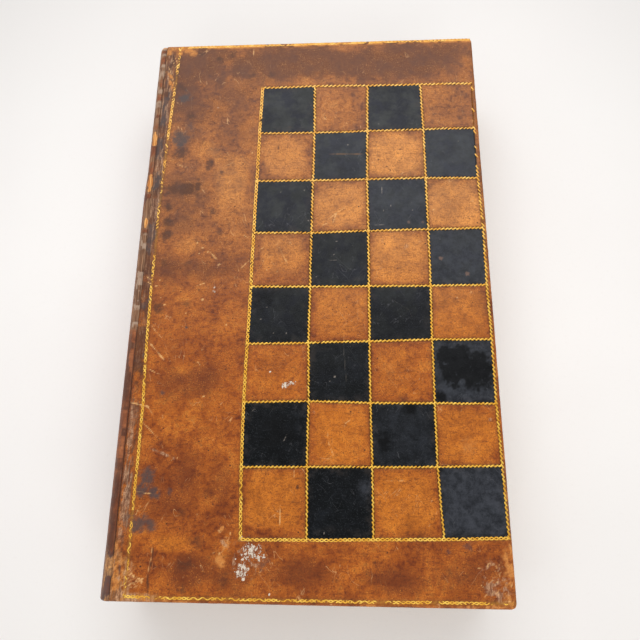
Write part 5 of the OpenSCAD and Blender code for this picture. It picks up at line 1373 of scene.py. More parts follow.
def spine_marks(V, lid):
    x, y, d = V[:, 0], V[:, 1], V[:, 2]
    b = (y - G0Y) / SQ
    out = {k: np.zeros(len(x)) for k in ("raw", "stain_and_shade", "scuff", "blue", "lite")}
    s = 200 if lid else 220
    n1, n2 = fbm(b * 4, d / 6, s, 4), fbm(b * 12, d / 2.5, s + 4, 3)
    shoulder = 1 - sstep(6.0, 12.0, d)
    top = 1 - sstep(3.0, 7.5, d)
    if lid:
        out["scuff"] = top * np.clip(0.25 + 0.75 * sstep(2.6, 4.6, b), 0, 1) * sstep(0.38, 0.56, n1)
        out["scuff"] = np.maximum(out["scuff"], shoulder * 0.8 * sstep(6.6, 7.8, b) * sstep(0.3, 0.5, n2))
        for lo, hi, w in ((6.73, 7.13, 1.9), (5.8, 6.25, 2.1), (5.1, 5.33, 1.2)):
            mid, half = (lo + hi) / 2, (hi - lo) / 2
            lens = 1 - ((b - mid) / half) ** 2 - ((x - (X_C - 2.2)) / (w * 1.25)) ** 2 + 1.6 * (n2 - 0.5) + 1.4 * (n1 - 0.5)
            out["raw"] = np.maximum(out["raw"], 0.9 * sstep(0.0, 0.5, lens) * (d < 9))
        strip = sstep(3.15, 3.3, b) * (1 - sstep(4.95, 5.1, b))
        out["scuff"] = np.maximum(out["scuff"], strip * top * (0.6 + 0.4 * n2))
        out["lite"] = np.maximum(out["lite"], strip * top * 0.45 * sstep(0.45, 0.62, n2))
        out["blue"] = np.maximum(out["blue"], shoulder * 0.42 * sstep(6.9, 7.4, b) * sstep(0.38, 0.6, n1))
        out["lite"] = np.maximum(out["lite"], shoulder * 0.42 * sstep(7.1, 7.8, b) * sstep(0.42, 0.60, n2))
        out["stain_and_shade"] = np.maximum(out["stain_and_shade"], 0.8 * top * sstep(0.8, 1.0, b) * (1 - sstep(1.8, 2.1, b)) * sstep(0.34, 0.56, n1))
        low = 1 - sstep(1.8, 2.2, b)
        dim = sstep(1.9, 2.3, b) * (1 - sstep(3.0, 3.3, b))
        out["stain_and_shade"] = np.maximum(out["stain_and_shade"], (low * 0.55 + dim * 0.8) * top * sstep(0.40, 0.60, n1) * sstep(0.4, 1.4, X_C - x))
        # painted highlight: a thin light line along the spine's shoulder on the lower part of the lid
        edge = np.exp(-(((x + 134.6) / 0.8) ** 2)) * (d < 10)
        out["lite"] = np.maximum(out["lite"], low * edge * sstep(0.3, 0.5, n1) * 0.35)
        tail = 1 - sstep(-0.35, -0.1, b)
        out["blue"] = np.maximum(out["blue"], tail * top * (0.30 + 0.35 * n1))
        out["raw"] = np.maximum(out["raw"], tail * top * 0.40 * sstep(0.40, 0.66, n1))
    else:
        out["scuff"] = top * sstep(0.42, 0.6, n1) * 0.9
        out["raw"] = top * sstep(0.6, 0.7, n2) * 0.8
        out["stain_and_shade"] = shoulder * sstep(0.5, 0.66, fbm(b * 3, d / 5, s + 9, 3)) * 0.6
    # rubbed band tops and head and tail caps
    for c in BANDS_Y:
        out["scuff"] = np.maximum(out["scuff"], 0.75 * np.exp(-(((y - c) / 2.4) ** 2)) * sstep(0.34, 0.56, n1) * (d > 8) * (d < 30))
    cap = sstep(218.5, 221.4, np.abs(y))
    out["raw"] = np.maximum(out["raw"], cap * 0.7 * sstep(0.42, 0.6, n2))
    # painted shade: a dark line down the joint groove between cover and spine
    groove = np.exp(-(((x - X_C) / 0.7) ** 2))
    out["stain_and_shade"] = np.maximum(out["stain_and_shade"], 0.95 * groove)
    return out


# ---------------------------------------------------------------- other materials
def simple_leather(name, colors, size=1.2, rough=(0.42, 0.6), spec=0.42):
    g = Mat(name)
    broad, mid, fine = g.noise(28, 5, 0.6, 0.3), g.noise(7, 4, 0.6), g.noise(1.5, 3, 0.65)
    base = g.ramp(g.add(g.mul(broad, 0.5), g.mul(mid, 0.5)), [(0.34, colors[0]), (0.5, colors[1]), (0.68, colors[2])])
    base = g.mix(g.mul(g.rng(fine, 0.45, 0.8), 0.35), base, tuple(c * 0.5 for c in colors[0][:3]) + (1.0,))
    rub = g.rng(g.noise(3.2, 4, 0.7), 0.62, 0.74)
    base = g.mix(g.mul(rub, 0.35), base, tuple(min(1.0, c * 1.8) for c in colors[2][:3]) + (1.0,))
    return g.done(base, g.rng(mid, 0.3, 0.7, *rough), g.bump(grain(g, size), 0.11, 0.75), spec=spec)


def wood(name, colors, axis="y", shine=0.45, size=1.0):
    """Long grain along an axis, with rings, pores and fine streaks."""
    g = Mat(name)
    st = {"x": (90, 5, 5), "y": (5, 90, 5), "z": (5, 5, 90)}[axis]
    st = tuple(s * size for s in st)
    fine = {"x": (14, 0.55, 0.55), "y": (0.55, 14, 0.55), "z": (0.55, 0.55, 14)}[axis]
    rings = g.noise(0, 4, 0.6, 0.8, stretch=st)
    pores = g.noise(0, 3, 0.6, stretch=fine)
    w = g.math("FRACT", g.mul(rings, 6.0))
    base = g.ramp(g.add(g.mul(rings, 0.6), g.mul(w, 0.3)), [(0.3, colors[0]), (0.55, colors[1]), (0.75, colors[2])])
    base = g.mix(g.mul(g.rng(pores, 0.58, 0.75), 0.5), base, tuple(c * 0.45 for c in colors[0][:3]) + (1.0,))
    h = g.add(g.mul(pores, 0.8), g.mul(w, 0.3))
    return g.done(base, g.rng(rings, 0.3, 0.7, shine - 0.08, shine + 0.1), g.bump(h, 0.06, 0.7), spec=0.45)


def turned_wood(name, colors):
    """Side-grain wood for the men: a different cut for each, fine pores, dark in the turned grooves."""
    g = Mat(name)
    turn = g.attr("turn")
    n = g.t.nodes.new("ShaderNodeCombineXYZ")
    g.put(n.inputs[0], g.mul(turn, 3.7))
    g.put(n.inputs[1], g.mul(turn, 11.3))
    g.put(n.inputs[2], g.mul(turn, 5.1))
    move = g.t.nodes.new("ShaderNodeVectorMath")
    move.operation = "ADD"
    g.put(move.inputs[0], g.scale(0.05, 0.42, 0.5))
    g.put(move.inputs[1], n.outputs[0])
    rings = g.noise(1, 4, 0.6, 0.9, vec=move.outputs[0])
    pores = g.noise(0, 3, 0.6, stretch=(7.0, 0.4, 0.5))
    w = g.math("FRACT", g.mul(rings, 7.0))
    base = g.ramp(g.add(g.mul(rings, 0.65), g.mul(w, 0.28)), [(0.3, colors[0]), (0.52, colors[1]), (0.74, colors[2])])
    base = g.mix(g.mul(g.rng(pores, 0.56, 0.74), 0.55), base, tuple(c * 0.4 for c in colors[0][:3]) + (1.0,))
    shade = g.rng(g.noise(0, 2, 0.5, vec=n.outputs[0]), 0.35, 0.65, 0.0, 0.22)
    base = g.mix(shade, base, tuple(c * 0.5 for c in colors[0][:3]) + (1.0,))
    base = g.mix(g.mul(g.attr("groove"), 0.6), base, tuple(c * 0.3 for c in colors[0][:3]) + (1.0,))
    h = g.add(g.mul(pores, 0.8), g.mul(w, 0.3))
    return g.done(base, g.rng(rings, 0.3, 0.7, 0.26, 0.42), g.bump(h, 0.035, 0.6), spec=0.5)


def brass():
    g = Mat("brass")
    mid, fine = g.noise(6, 4, 0.6), g.noise(0.5, 3, 0.7)
    base = g.mix(g.rng(mid, 0.4, 0.7), lin(188, 144, 70), lin(150, 108, 52))
    spot = g.rng(g.noise(2.2, 4, 0.7), 0.6, 0.7)
    base = g.mix(g.mul(spot, 0.6), base, lin(84, 60, 36))
    rough = g.add(g.rng(fine, 0.3, 0.8, 0.22, 0.42), g.mul(spot, 0.25))
    return g.done(base, rough, g.bump(g.add(fine, g.mul(mid, 0.5)), 0.02, 0.6), metal=g.fmix(spot, 0.95, 0.5))


def paper():
    g = Mat("page_edges")
    band = g.noise(0, 5, 0.7, 0.2, stretch=(120, 120, 0.8))
    soft = g.noise(26, 4, 0.6)
    base = g.ramp(g.add(g.mul(band, 0.6), g.mul(soft, 0.4)), [(0.35, lin(116, 84, 52)), (0.5, lin(158, 124, 82)), (0.68, lin(190, 158, 112))])
    dirt = g.rng(g.noise(9, 4, 0.65), 0.56, 0.72)
    base = g.mix(g.mul(dirt, 0.5), base, lin(96, 66, 42))
    crack = g.rng(g.noise(0, 4, 0.7, stretch=(30, 30, 0.5)), 0.6, 0.7)
    base = g.mix(g.mul(crack, 0.5), base, lin(86, 58, 36))
    return g.done(base, g.rng(soft, 0.3, 0.7, 0.55, 0.75), g.bump(g.add(band, g.mul(crack, -0.6)), 0.15, 0.8), spec=0.3)


def bone():
    g = Mat("bone")
    mid, fine = g.noise(4, 4, 0.6), g.noise(0, 3, 0.6, stretch=(0.5, 3.5, 0.5))
    base = g.mix(g.rng(mid, 0.35, 0.7), lin(236, 226, 200), lin(216, 198, 160))
    base = g.mix(g.mul(g.rng(fine, 0.6, 0.8), 0.5), base, lin(150, 122, 84))
    base = g.mix(g.rng(g.attr("pip"), 0.3, 0.6), base, lin(18, 15, 14))
    return g.done(base, g.rng(mid, 0.3, 0.7, 0.28, 0.42), g.bump(fine, 0.03, 0.5), spec=0.5)


# ---------------------------------------------------------------- CAD nodes with a finish
def dress(node, mat, bevel=0.4, segments=2, smooth=True):
    """Keeps the CAD node's mesh, with softened edges and a finish."""
    o = NODES[node]
    o.data.materials.clear()
    o.data.materials.append(mat)
    w = o.modifiers.new("weld", "WELD")
    w.merge_threshold = 1e-6
    if bevel:
        b = o.modifiers.new("bevel", "BEVEL")
        b.width = bevel * 0.001
        b.segments = segments
        b.limit_method = "ANGLE"
        b.angle_limit = math.radians(35)
        b.harden_normals = False
    return o


def page_block(lid, tray, mat, body):
    """The three imitation page edges, with the ridges of real leaves."""
    r = np.random.RandomState(5 if lid else 6)
    z0, z1 = 5.25, 34.8
    rows = [z0]
    while rows[-1] < z1 - 0.9:
        rows.append(rows[-1] + r.uniform(0.28, 0.46))
    rows[-1] = z1
    rows = np.array(rows)
    nz = len(rows)
    relief = np.where(np.arange(nz) % 2 == 0, r.uniform(0.0, 0.07, nz), r.uniform(0.14, 0.26, nz))
    relief[[0, -1]] = 0.02
    gather = 0.10 * (0.5 + 0.5 * np.sin(rows * 1.7 + (1 if lid else 0)))
    V, Q, N, count = [], [], [], 0
    for side in ("head", "tail", "fore"):
        if side == "fore":
            run = spread([-217.3, 217.3], 4.0)
        else:
            run = spread([X_C + 0.1, X_H - 0.1], 4.0)
        nr = len(run)
        R, Z = np.meshgrid(run, rows, indexing="ij")
        wav = 0.06 * (fbm(R / 25, Z / 0.9, 17, 3) - 0.5) + relief[None, :] + gather[None, :] * vnoise(R / 60, Z * 0, 19)
        depth = np.clip(wav, 0.0, 0.42)
        if side == "fore":
            out = np.stack([X_H - depth, R, Z], -1)
            back = np.stack([np.full_like(R, 136.2), R, Z], -1)
        else:
            s = 1.0 if side == "head" else -1.0
            out = np.stack([R, s * (218.0 - depth), Z], -1)
            back = np.stack([R, np.full_like(R, s * 217.45), Z], -1)
        V += [out.reshape(-1, 3), back[[0, -1]].reshape(-1, 3)]
        a = np.arange(nr * nz).reshape(nr, nz) + count
        b = np.arange(2 * nz).reshape(2, nz) + count + nr * nz
        Q.append(grid_faces(nr, nz, count))
        Q.append(grid_faces(2, nz, count + nr * nz)[:, ::-1])
        for e, m in ((0, 0), (-1, 1)):
            f = np.stack([a[e, :-1], a[e, 1:], b[m, 1:], b[m, :-1]], -1)
            Q.append(f[:, ::-1] if e == -1 else f)
        N += [np.concatenate([a[:, 0], b[::-1, 0]])[None, :], np.concatenate([a[::-1, -1], b[:, -1]])[None, :]]
        count += nr * nz + 2 * nz
    V = np.concatenate(V)
    groups, k = [], 0
    for n, side in enumerate(("head", "tail", "fore")):
        f = [Q[4 * n], Q[4 * n + 1], Q[4 * n + 2], Q[4 * n + 3], N[2 * n], N[2 * n + 1]]
        f, _ = orient(f, f)
        # each block outward on its own
        if volume(V - V[np.unique(f[0])].mean(0), f) < 0:
            f = [x[:, ::-1] for x in f]
        groups += f
    return piece(f"{tray}_leaf_edges", V, groups, body, mat, lid, (f"{tray}_page_edges",), True, sharp=60)


def spine_gilt(lid, mat, body, tray):
    """Gold fillets across the spine beside the raised bands, and frames round the labels."""
    parts = new_parts()
    a_top, a_low = math.radians(40), math.radians(50)
    def at(y, ang, lift):
        r = SP_R + lift
        return SP_X - r * np.cos(ang), y, ZC - r * np.sin(ang)
    def across(y, w, h, a0=a_top, a1=-a_low, n=46, lift=0.12, seed=0):
        ang = np.linspace(a0, a1, n)
        keep = keep_of(ang * 22, y + 0 * ang, 0.22, 400 + seed)
        on = keep > 0.12
        k = 0
        while k < n:
            if not on[k]:
                k += 1
                continue
            e = k
            while e + 1 < n and on[e + 1]:
                e += 1
            if e - k >= 2:
                V = []
                for q in range(k, e + 1):
                    ww = w * (0.5 + 0.5 * keep[q])
                    for off, up in ((-0.5, -0.25), (-0.3, h), (0.3, h), (0.5, -0.25)):
                        V.append(at(y + off * ww, ang[q], lift + up))
                m = e - k + 1
                base = parts["n"]
                parts["v"].append(np.array(V))
                parts["q"].append(grid_faces(m, 4, base, wrap=True))
                parts["o"].append(np.array([[base + t for t in range(4)]]))
                parts["o"].append(np.array([[base + (m - 1) * 4 + t for t in (3, 2, 1, 0)]]))
                parts["n"] += 4 * m
            k = e + 1
    for c in BANDS_Y:
        for s in (-1, 1):
            across(c + s * 6.2, 0.9, 0.14, seed=int(c + 3 * s + 200))
            across(c + s * 7.7, 0.45, 0.12, seed=int(c + 5 * s + 300))
    for y in (-214, 214, -212.4, 212.4):
        across(y, 0.9 if abs(y) > 213 else 0.45, 0.14, seed=int(y + 500))
    for c in (-111, 111):
        for s in (-1, 1):
            across(c + s * 25.4, 0.8, 0.32, math.radians(26), -math.radians(26), 30, 0.2, int(c + s + 700))
            across(c + s * 23.6, 0.4, 0.32, math.radians(25), -math.radians(25), 30, 0.2, int(c + s + 800))
    V = np.concatenate(parts["v"])
    groups = [np.concatenate(parts["q"]), np.concatenate(parts["o"])]
    return piece(f"{tray}_spine_gilt", V, groups, body, mat, lid)


# ---------------------------------------------------------------- what the box holds
PLAY, IN_XS, PITCH = 6.0, -120.425, 41.433


def turned(profile, segs=64):
    """A closed shell of revolution about z from (r, z) points that start and end on the axis."""
    prof = np.array(profile, float)
    n = len(prof)
    a = np.arange(segs) * 2 * math.pi / segs
    V = [np.array([[0, 0, prof[0, 1]]])]
    for r, z in prof[1:-1]:
        V.append(np.stack([r * np.cos(a), r * np.sin(a), np.full(segs, z)], -1))
    V.append(np.array([[0, 0, prof[-1, 1]]]))
    V = np.concatenate(V)
    k, b = np.arange(segs), (np.arange(segs) + 1) % segs
    first = np.stack([np.zeros(segs, int), 1 + b, 1 + k], -1)
    quads = [np.stack([1 + m * segs + k, 1 + m * segs + b, 1 + (m + 1) * segs + b, 1 + (m + 1) * segs + k], -1) for m in range(n - 3)]
    base = 1 + (n - 3) * segs
    last = np.stack([base + k, base + b, np.full(segs, len(V) - 1)], -1)
    return V, np.concatenate(quads), np.concatenate([first, last])


MAN = [
    (0, 0.35), (9.0, 0.35), (9.4, 0.05), (15.7, 0.0), (16.3, 0.25), (16.75, 0.9), (16.9, 1.6), (16.55, 2.1), (16.5, 2.4),
    (16.9, 2.9), (17.0, 4.0), (16.9, 5.1), (16.5, 5.6), (16.55, 5.9), (16.9, 6.4), (16.75, 7.1), (16.3, 7.75), (15.6, 8.0),
    (14.4, 7.98), (13.9, 7.75), (13.6, 7.3), (12.4, 7.22), (12.05, 7.0), (11.7, 7.2), (9.4, 7.28), (9.05, 7.02), (8.6, 7.3),
    (7.2, 7.25), (6.7, 7.0), (6.2, 7.22), (4.2, 7.26), (3.7, 7.05), (3.1, 7.25), (1.6, 7.22), (0.9, 6.9), (0, 6.8),
]


def draughtsmen():
    """Fifteen turned men of each colour, in their stacks along the head and tail walls."""
    V0, Q0, T0 = turned(MAN, 72)
    r0 = np.hypot(V0[:, 0], V0[:, 1])
    groove = sstep(7.24, 7.0, V0[:, 2]) * (V0[:, 2] > 6.5) * (r0 < 14)
    groove = np.maximum(groove, sstep(16.8, 16.55, r0) * (r0 > 16.3) * (V0[:, 2] > 1) * (V0[:, 2] < 7))
    spin = np.random.RandomState(3)
    for side, name, slot, mat, node in ((-1, "dark_man", "dark_wood", DARKW, "dark_men"), (1, "light_man", "light_wood", LIGHTW, "light_men")):
        for i in range(5):
            for k in range(3):
                t = spin.uniform(0, 2 * math.pi)
                c, s_ = math.cos(t), math.sin(t)
                V = np.stack([V0[:, 0] * c - V0[:, 1] * s_, V0[:, 0] * s_ + V0[:, 1] * c, V0[:, 2]], -1)
                V += (IN_XS + (i + 0.5) * PITCH, side * 190.4, PLAY + 8.04 * k)
                piece(f"{name}_{3 * i + k + 1:02d}", V, [Q0, T0], "base", mat, None, (node,), True, {"turn": np.full(len(V), float(3 * i + k + 1)), "groove": groove}, sharp=38)


def dice_cup(name, x, y, way):
    """A leather cup on its side: a rolled rim, a base ring, a lapped seam with its stitches, and a let-in bottom."""
    z = PLAY + 22.02
    prof = [
        (18.95, 4.05), (19.0, 20), (19.0, 45), (19.0, 66), (19.05, 70.6), (19.4, 71.55), (20.2, 71.95), (21.2, 71.85), (21.85, 71.2),
        (22.0, 70.1), (21.85, 69.0), (21.3, 68.2), (21.0, 67.9), (20.97, 66.0), (20.75, 65.6), (20.72, 65.2), (20.97, 64.8), (20.95, 52), (20.92, 36),
        (20.95, 20), (20.97, 8.2), (20.75, 7.8), (20.72, 7.4), (20.97, 7.0), (21.0, 5.3), (21.35, 4.9), (21.9, 4.3), (22.0, 2.6), (21.85, 0.9), (21.3, 0.15),
        (20.2, 0.0), (19.3, 0.2), (19.0, 0.8), (19.0, 1.0),
    ]
    fine = []
    for (r0, h0), (r1, h1) in zip(prof[:-1], prof[1:]):
        m = max(1, int(abs(h1 - h0) / 3.0))
        fine += [(r0 + (r1 - r0) * t / m, h0 + (h1 - h0) * t / m) for t in range(m)]
    fine = np.array(fine + [prof[-1]])
    segs, n = 120, len(fine)
    a = np.arange(segs) * 2 * math.pi / segs
    R = np.repeat(fine[:, :1], segs, 1)
    H = np.repeat(fine[:, 1:], segs, 1)
    A = np.repeat(a[None, :], n, 0)
    out = (np.arange(n) > n * 0.30)[:, None]
    lap = np.exp(-(((A - math.pi * 0.5) / 0.016) ** 2)) * (R > 20.6) * (R < 21.05)
    R = R - 0.22 * lap - 0.05 * (fbm(A * 7, H / 6, 310, 3)) * out * (R < 21.9)
    def to_box(R, A, H):
        return np.stack([x + R * np.cos(A) * way, y + way * H, z + R * np.sin(A)], -1)
    V = to_box(R, A, H).reshape(-1, 3)
    idx = np.arange(n * segs).reshape(n, segs)
    nx = np.roll(idx, -1, 1)
    q = np.stack([idx[:-1], idx[1:], nx[1:], nx[:-1]], -1).reshape(-1, 4)
    join = np.stack([idx[-1], idx[0], nx[0], nx[-1]], -1)
    dist = np.minimum(np.abs(H - 68.0), np.abs(H - 5.2))
    rub = (np.exp(-((dist / 3.0) ** 2)) * out).ravel()
    piece(f"{name}_shell", V, [q, join], "base", CUP, None, (f"{name}_wall",), True, {"rub": rub}, sharp=55)
    # gold lines and the stitches of the seam
    parts = new_parts()
    for h in (10.2, 12.0, 60.6, 62.4):
        m = 96
        t = np.linspace(0, 2 * math.pi, m, endpoint=False)
        ring = []
        for dr, dh in ((0.0, -0.28), (0.16, -0.16), (0.16, 0.16), (0.0, 0.28)):
            ring.append(to_box(20.93 + dr + 0 * t, t, h + dh + 0 * t))
        W = np.stack(ring, 1)
        base = parts["n"]
        i0 = np.arange(m)[:, None] * 4
        i1 = ((np.arange(m) + 1) % m)[:, None] * 4
        c0, c1 = np.arange(4)[None, :], ((np.arange(4) + 1) % 4)[None, :]
        parts["v"].append(W.reshape(-1, 3))
        parts["q"].append((base + np.stack([i0 + c0, i1 + c0, i1 + c1, i0 + c1], -1)).reshape(-1, 4))
        parts["n"] += 4 * m
    V = np.concatenate(parts["v"])
    piece(f"{name}_gilt_lines", V, [np.concatenate(parts["q"])], "base", GILT, None, (), True)
    V, Q, P, count = [], [], [], 0
    for side in (-1, 1):
        for k in range(17):
            h0 = 14.6 + 2.7 * k
            ss = np.linspace(-1, 1, 7)
            for_ = []
            for u in ss:
                lift = 0.30 * math.sqrt(max(1 - u * u, 0.0))
                w = 0.30 * (1 - 0.5 * u * u)
                ring = []
                for e in range(6):
                    t = e * math.pi / 3
                    ring.append((20.85 + lift + 0.24 * math.sin(t), math.pi * 0.5 + side * 0.075 + w * math.cos(t) / 21, h0 + 0.85 * u))
                for_.append(ring)
            F = np.array(for_).reshape(-1, 3)
            V.append(to_box(F[:, 0], F[:, 1], F[:, 2]))
            Q.append(grid_faces(7, 6, count, wrap=True))
            P += [count + np.arange(6)[None, :], count + 36 + np.arange(6)[None, ::-1]]
            count += 42
    piece(f"{name}_stitches", np.concatenate(V), [np.concatenate(Q), np.concatenate(P)], "base", THREAD, None, (), True)
    # the let-in bottom, a little domed, with a pressed ring
    prof = [(0, 1.35), (9, 1.3), (13.6, 1.25), (14.0, 1.05), (14.6, 1.25), (18.2, 1.1), (18.8, 1.25), (18.93, 1.6), (18.93, 3.6), (18.7, 3.95), (13, 3.95), (0, 3.98)]
    D, q, t = turned(prof, 96)
    V = np.stack([x + D[:, 0] * way, y + way * D[:, 2], z + D[:, 1]], -1)
    piece(f"{name}_base_disc", V, [q, t], "base", CUP, None, (f"{name}_bottom",), True, {"rub": np.zeros(len(V))}, sharp=40)


def point_lines(lid, mat, body, tray):
    """Gold fillets round the points and along the edge of the playing surface."""
    parts = new_parts()
    def fillet(p, q, width, seed, wear=0.16):
        x, y = line_points(p, q, 1.0)
        strand(parts, x, y, np.full(len(x), PLAY + 0.0), keep_of(x, y, wear, seed), width, 0.13)
    for i in range(6):
        for s in (-1, 1):
            x0, x1, xm = IN_XS + i * PITCH + 1.5, IN_XS + (i + 1) * PITCH - 1.5, IN_XS + (i + 0.5) * PITCH
            foot, tip = s * 207.9, s * 47.9
            for inset, width in ((0.0, 0.8), (1.9, 0.4)):
                k = inset * math.hypot(160, 19.2) / 160
                h = 160 * (1 - 2 * k / (x1 - x0)) if inset else 160
                fillet((x0 + k, foot), (xm, foot - s * h), width, 500 + 20 * i + s)
                fillet((x1 - k, foot), (xm, foot - s * h), width, 600 + 20 * i + s)
    x0, x1, y1 = IN_XS + 0.75, 128.175 - 0.75, 208.65
    for s in (-1, 1):
        fillet((x0, s * y1), (x1, s * y1), 0.6, 700 + s)
    fillet((x0, -y1), (x0, y1), 0.6, 705)
    fillet((x1, -y1), (x1, y1), 0.6, 706)
    # a small tooled star in the middle of the board
    for k in range(8):
        t = k * math.pi / 4
        cx, cy = 3.875, 0.0
        for a, b, w in ((3.0, 13.0 if k % 2 == 0 else 8.5, 1.2),):
            fillet((cx + a * math.cos(t), cy + a * math.sin(t)), (cx + b * math.cos(t), cy + b * math.sin(t)), w, 720 + k, 0.0)
    t = np.linspace(0, 2 * math.pi, 90)
    for r, w in ((16.0, 0.8), (17.8, 0.4)):
        x, y = 3.875 + r * np.cos(t), r * np.sin(t)
        strand(parts, x, y, np.full(len(x), PLAY), keep_of(x, y, 0.1, 730), w, 0.13)
    V = np.concatenate(parts["v"])
    V[:, 2] = 2 * PLAY - V[:, 2]
    return piece(f"{tray}_point_gilding", V, [np.concatenate(parts["q"]), np.concatenate(parts["p"])], body, mat, lid)


PIPS = {
    1: [(0, 0)], 2: [(-1, -1), (1, 1)], 3: [(-1, -1), (0, 0), (1, 1)], 4: [(-1, -1), (-1, 1), (1, -1), (1, 1)],
    5: [(-1, -1), (-1, 1), (1, -1), (1, 1), (0, 0)], 6: [(-1, -1), (-1, 0), (-1, 1), (1, -1), (1, 0), (1, 1)],
}


def bone_die(name, cx, cy, turn, faces):
    """A bone die with rounded corners and drilled, inked pips."""
    n = 38
    e = np.linspace(-1, 1, n)
    e = np.sign(e) * np.abs(e) ** 0.9
    A, B = np.meshgrid(e, e, indexing="ij")
    half, rad = 5.5, 1.5
    V, Q, pip, count = [], [], [], 0
    axes = [(0, 1, 2, 1), (0, 1, 2, -1), (1, 2, 0, 1), (1, 2, 0, -1), (2, 0, 1, 1), (2, 0, 1, -1)]
    for (u, v, w, sgn), number in zip(axes, faces):
        P = np.zeros((n, n, 3))
        P[..., u], P[..., v], P[..., w] = A * half, B * half * sgn, half * sgn
        core = np.clip(P, -(half - rad), half - rad)
        off = P - core
        length = np.linalg.norm(off, axis=-1, keepdims=True)
        P = core + off / length * rad
        ink = np.zeros((n, n))
        for a, b in PIPS[number]:
            dist = np.hypot(A * half - a * 2.55, B * half - b * 2.55)
            ink = np.maximum(ink, 1 - sstep(0.75, 1.05, dist))
            P[..., w] -= sgn * 0.42 * np.sqrt(np.clip(1 - (dist / 1.0) ** 2, 0, 1))
        V.append(P.reshape(-1, 3))
        pip.append(ink.ravel())
        f = grid_faces(n, n, count)
        Q.append(f)
        count += n * n
    V, pip, Q = np.concatenate(V), np.concatenate(pip), np.concatenate(Q)
    # join the six sheets along their edges
    key = np.round(V * 2000).astype(np.int64)
    _, first, inverse = np.unique(key, axis=0, return_index=True, return_inverse=True)
    inverse = inverse.ravel()
    V, pip, Q = V[first], pip[first], inverse[Q]
    t = math.radians(turn)
    W = V.copy()
    W[:, 0] = V[:, 0] * math.cos(t) - V[:, 1] * math.sin(t) + cx
    W[:, 1] = V[:, 0] * math.sin(t) + V[:, 1] * math.cos(t) + cy
    W[:, 2] = V[:, 2] + PLAY + 5.5
    piece(name, W, [Q], "base", BONE, None, ("dice",), True, {"pip": pip})


# ---------------------------------------------------------------- light, floor, camera
def studio():
    world = bpy.data.worlds.new("studio")
    bpy.context.scene.world = world
    world.use_nodes = True
    bg = world.node_tree.nodes["Background"]
    bg.inputs[0].default_value = (1.0, 0.985, 0.97, 1.0)
    bg.inputs[1].default_value = 0.56

    def area(name, loc, target, size, power, color=(1, 1, 1)):
        light = bpy.data.lights.new(name, "AREA")
        light.shape = "RECTANGLE"
        light.size, light.size_y = size
        light.energy = power
        light.color = color
        ob = bpy.data.objects.new(name, light)
        ob.location = loc
        ob.rotation_euler = (Vector(target) - Vector(loc)).to_track_quat("-Z", "Y").to_euler()
        bpy.context.scene.collection.objects.link(ob)

    area("window", (0.02, 0.90, 1.20), (0, 0.0, 0.05), (1.9, 0.95), 13.2, (0.99, 0.99, 1.0))
    area("front", (0.3, -1.35, 0.85), (0, 0, 0.0), (1.8, 0.8), 9.0, (1.0, 0.985, 0.96))
    area("side", (1.5, 0.1, 0.9), (0, 0, 0.0), (1.2, 0.8), 1.6, (1.0, 0.985, 0.97))
    area("left", (-1.5, -0.3, 0.9), (0, 0, 0.0), (1.4, 0.9), 3.6, (1.0, 0.985, 0.97))

    g = Mat("floor")
    n1, n2 = g.noise(260, 4, 0.5), g.noise(3.0, 3, 0.6)
    base = g.mix(g.rng(n1, 0.3, 0.7), lin(249, 246, 244), lin(253, 251, 249))
    # painted shade: the floor darkens with distance from the box
    far = g.math("SQRT", g.add(g.mul(g.X, g.X), g.mul(g.Y, g.Y)))
    base = g.mix(g.rng(far, 160, 520, smooth=False), base, lin(217, 215, 213))
    base = g.mix(g.mul(g.rng(n2, 0.55, 0.8), 0.15), base, lin(226, 220, 216))
    mat = g.done(base, g.rng(n1, 0.3, 0.7, 0.6, 0.75), g.bump(n2, 0.05, 0.3), spec=0.3)
    me = bpy.data.meshes.new("floor")
    s, z = 4.0, -0.0004
    me.from_pydata([(-s, -s, z), (s, -s, z), (s, s, z), (-s, s, z)], [], [(0, 1, 2, 3)])
    floor = bpy.data.objects.new("floor", me)
    me.materials.append(mat)
    bpy.context.scene.collection.objects.link(floor)

    cam = bpy.data.cameras.new("camera")
    cam.lens, cam.sensor_width = 31.35, 36.0
    cam.clip_start, cam.clip_end = 0.01, 50.0
    ob = bpy.data.objects.new("camera", cam)
    rows = [(0.99879059, 0.0100318, -0.04813235), (0.00391493, 0.95962799, 0.28124508), (0.04901055, -0.28109337, 0.95842813)]
    m = Matrix.Identity(4)
    for c in range(3):
        for r in range(3):
            m[r][c] = rows[c][r]
    m.translation = Vector((0.029483, -0.145824, 0.471747))
    ob.matrix_world = m
    bpy.context.scene.collection.objects.link(ob)
    bpy.context.scene.camera = ob
    bpy.context.scene.view_settings.view_transform = "Standard"
    bpy.context.scene.view_settings.look = "None"


# ---------------------------------------------------------------- build
TAN, BLACK, SPINE, GILT = leather_tan(), leather_black(), leather_spine(), gilt()
RIM = simple_leather("leather_rim", [lin(70, 38, 24), lin(98, 54, 32), lin(124, 74, 44)])
LABEL = simple_leather("leather_label", [lin(66, 18, 16), lin(92, 28, 22), lin(118, 42, 30)], 1.0)
CUP = simple_leather("leather_cup", [lin(58, 34, 22), lin(86, 52, 32), lin(116, 74, 44)], 1.0)
LINING = simple_leather("lining", [lin(88, 34, 18), lin(116, 50, 26), lin(142, 70, 38)], 1.0, (0.45, 0.6), 0.3)
DARKPT = simple_leather("points_dark", [lin(30, 22, 20), lin(44, 32, 28), lin(62, 46, 38)], 0.9)
LIGHTPT = simple_leather("points_light", [lin(176, 132, 80), lin(200, 156, 100), lin(216, 178, 124)], 0.9)
BOARD = wood("board_wood", [lin(120, 96, 70), lin(146, 120, 90), lin(166, 142, 110)], "y", 0.7)
WALLX = wood("wall_wood_x", [lin(92, 52, 28), lin(124, 74, 40), lin(150, 96, 56)], "x")
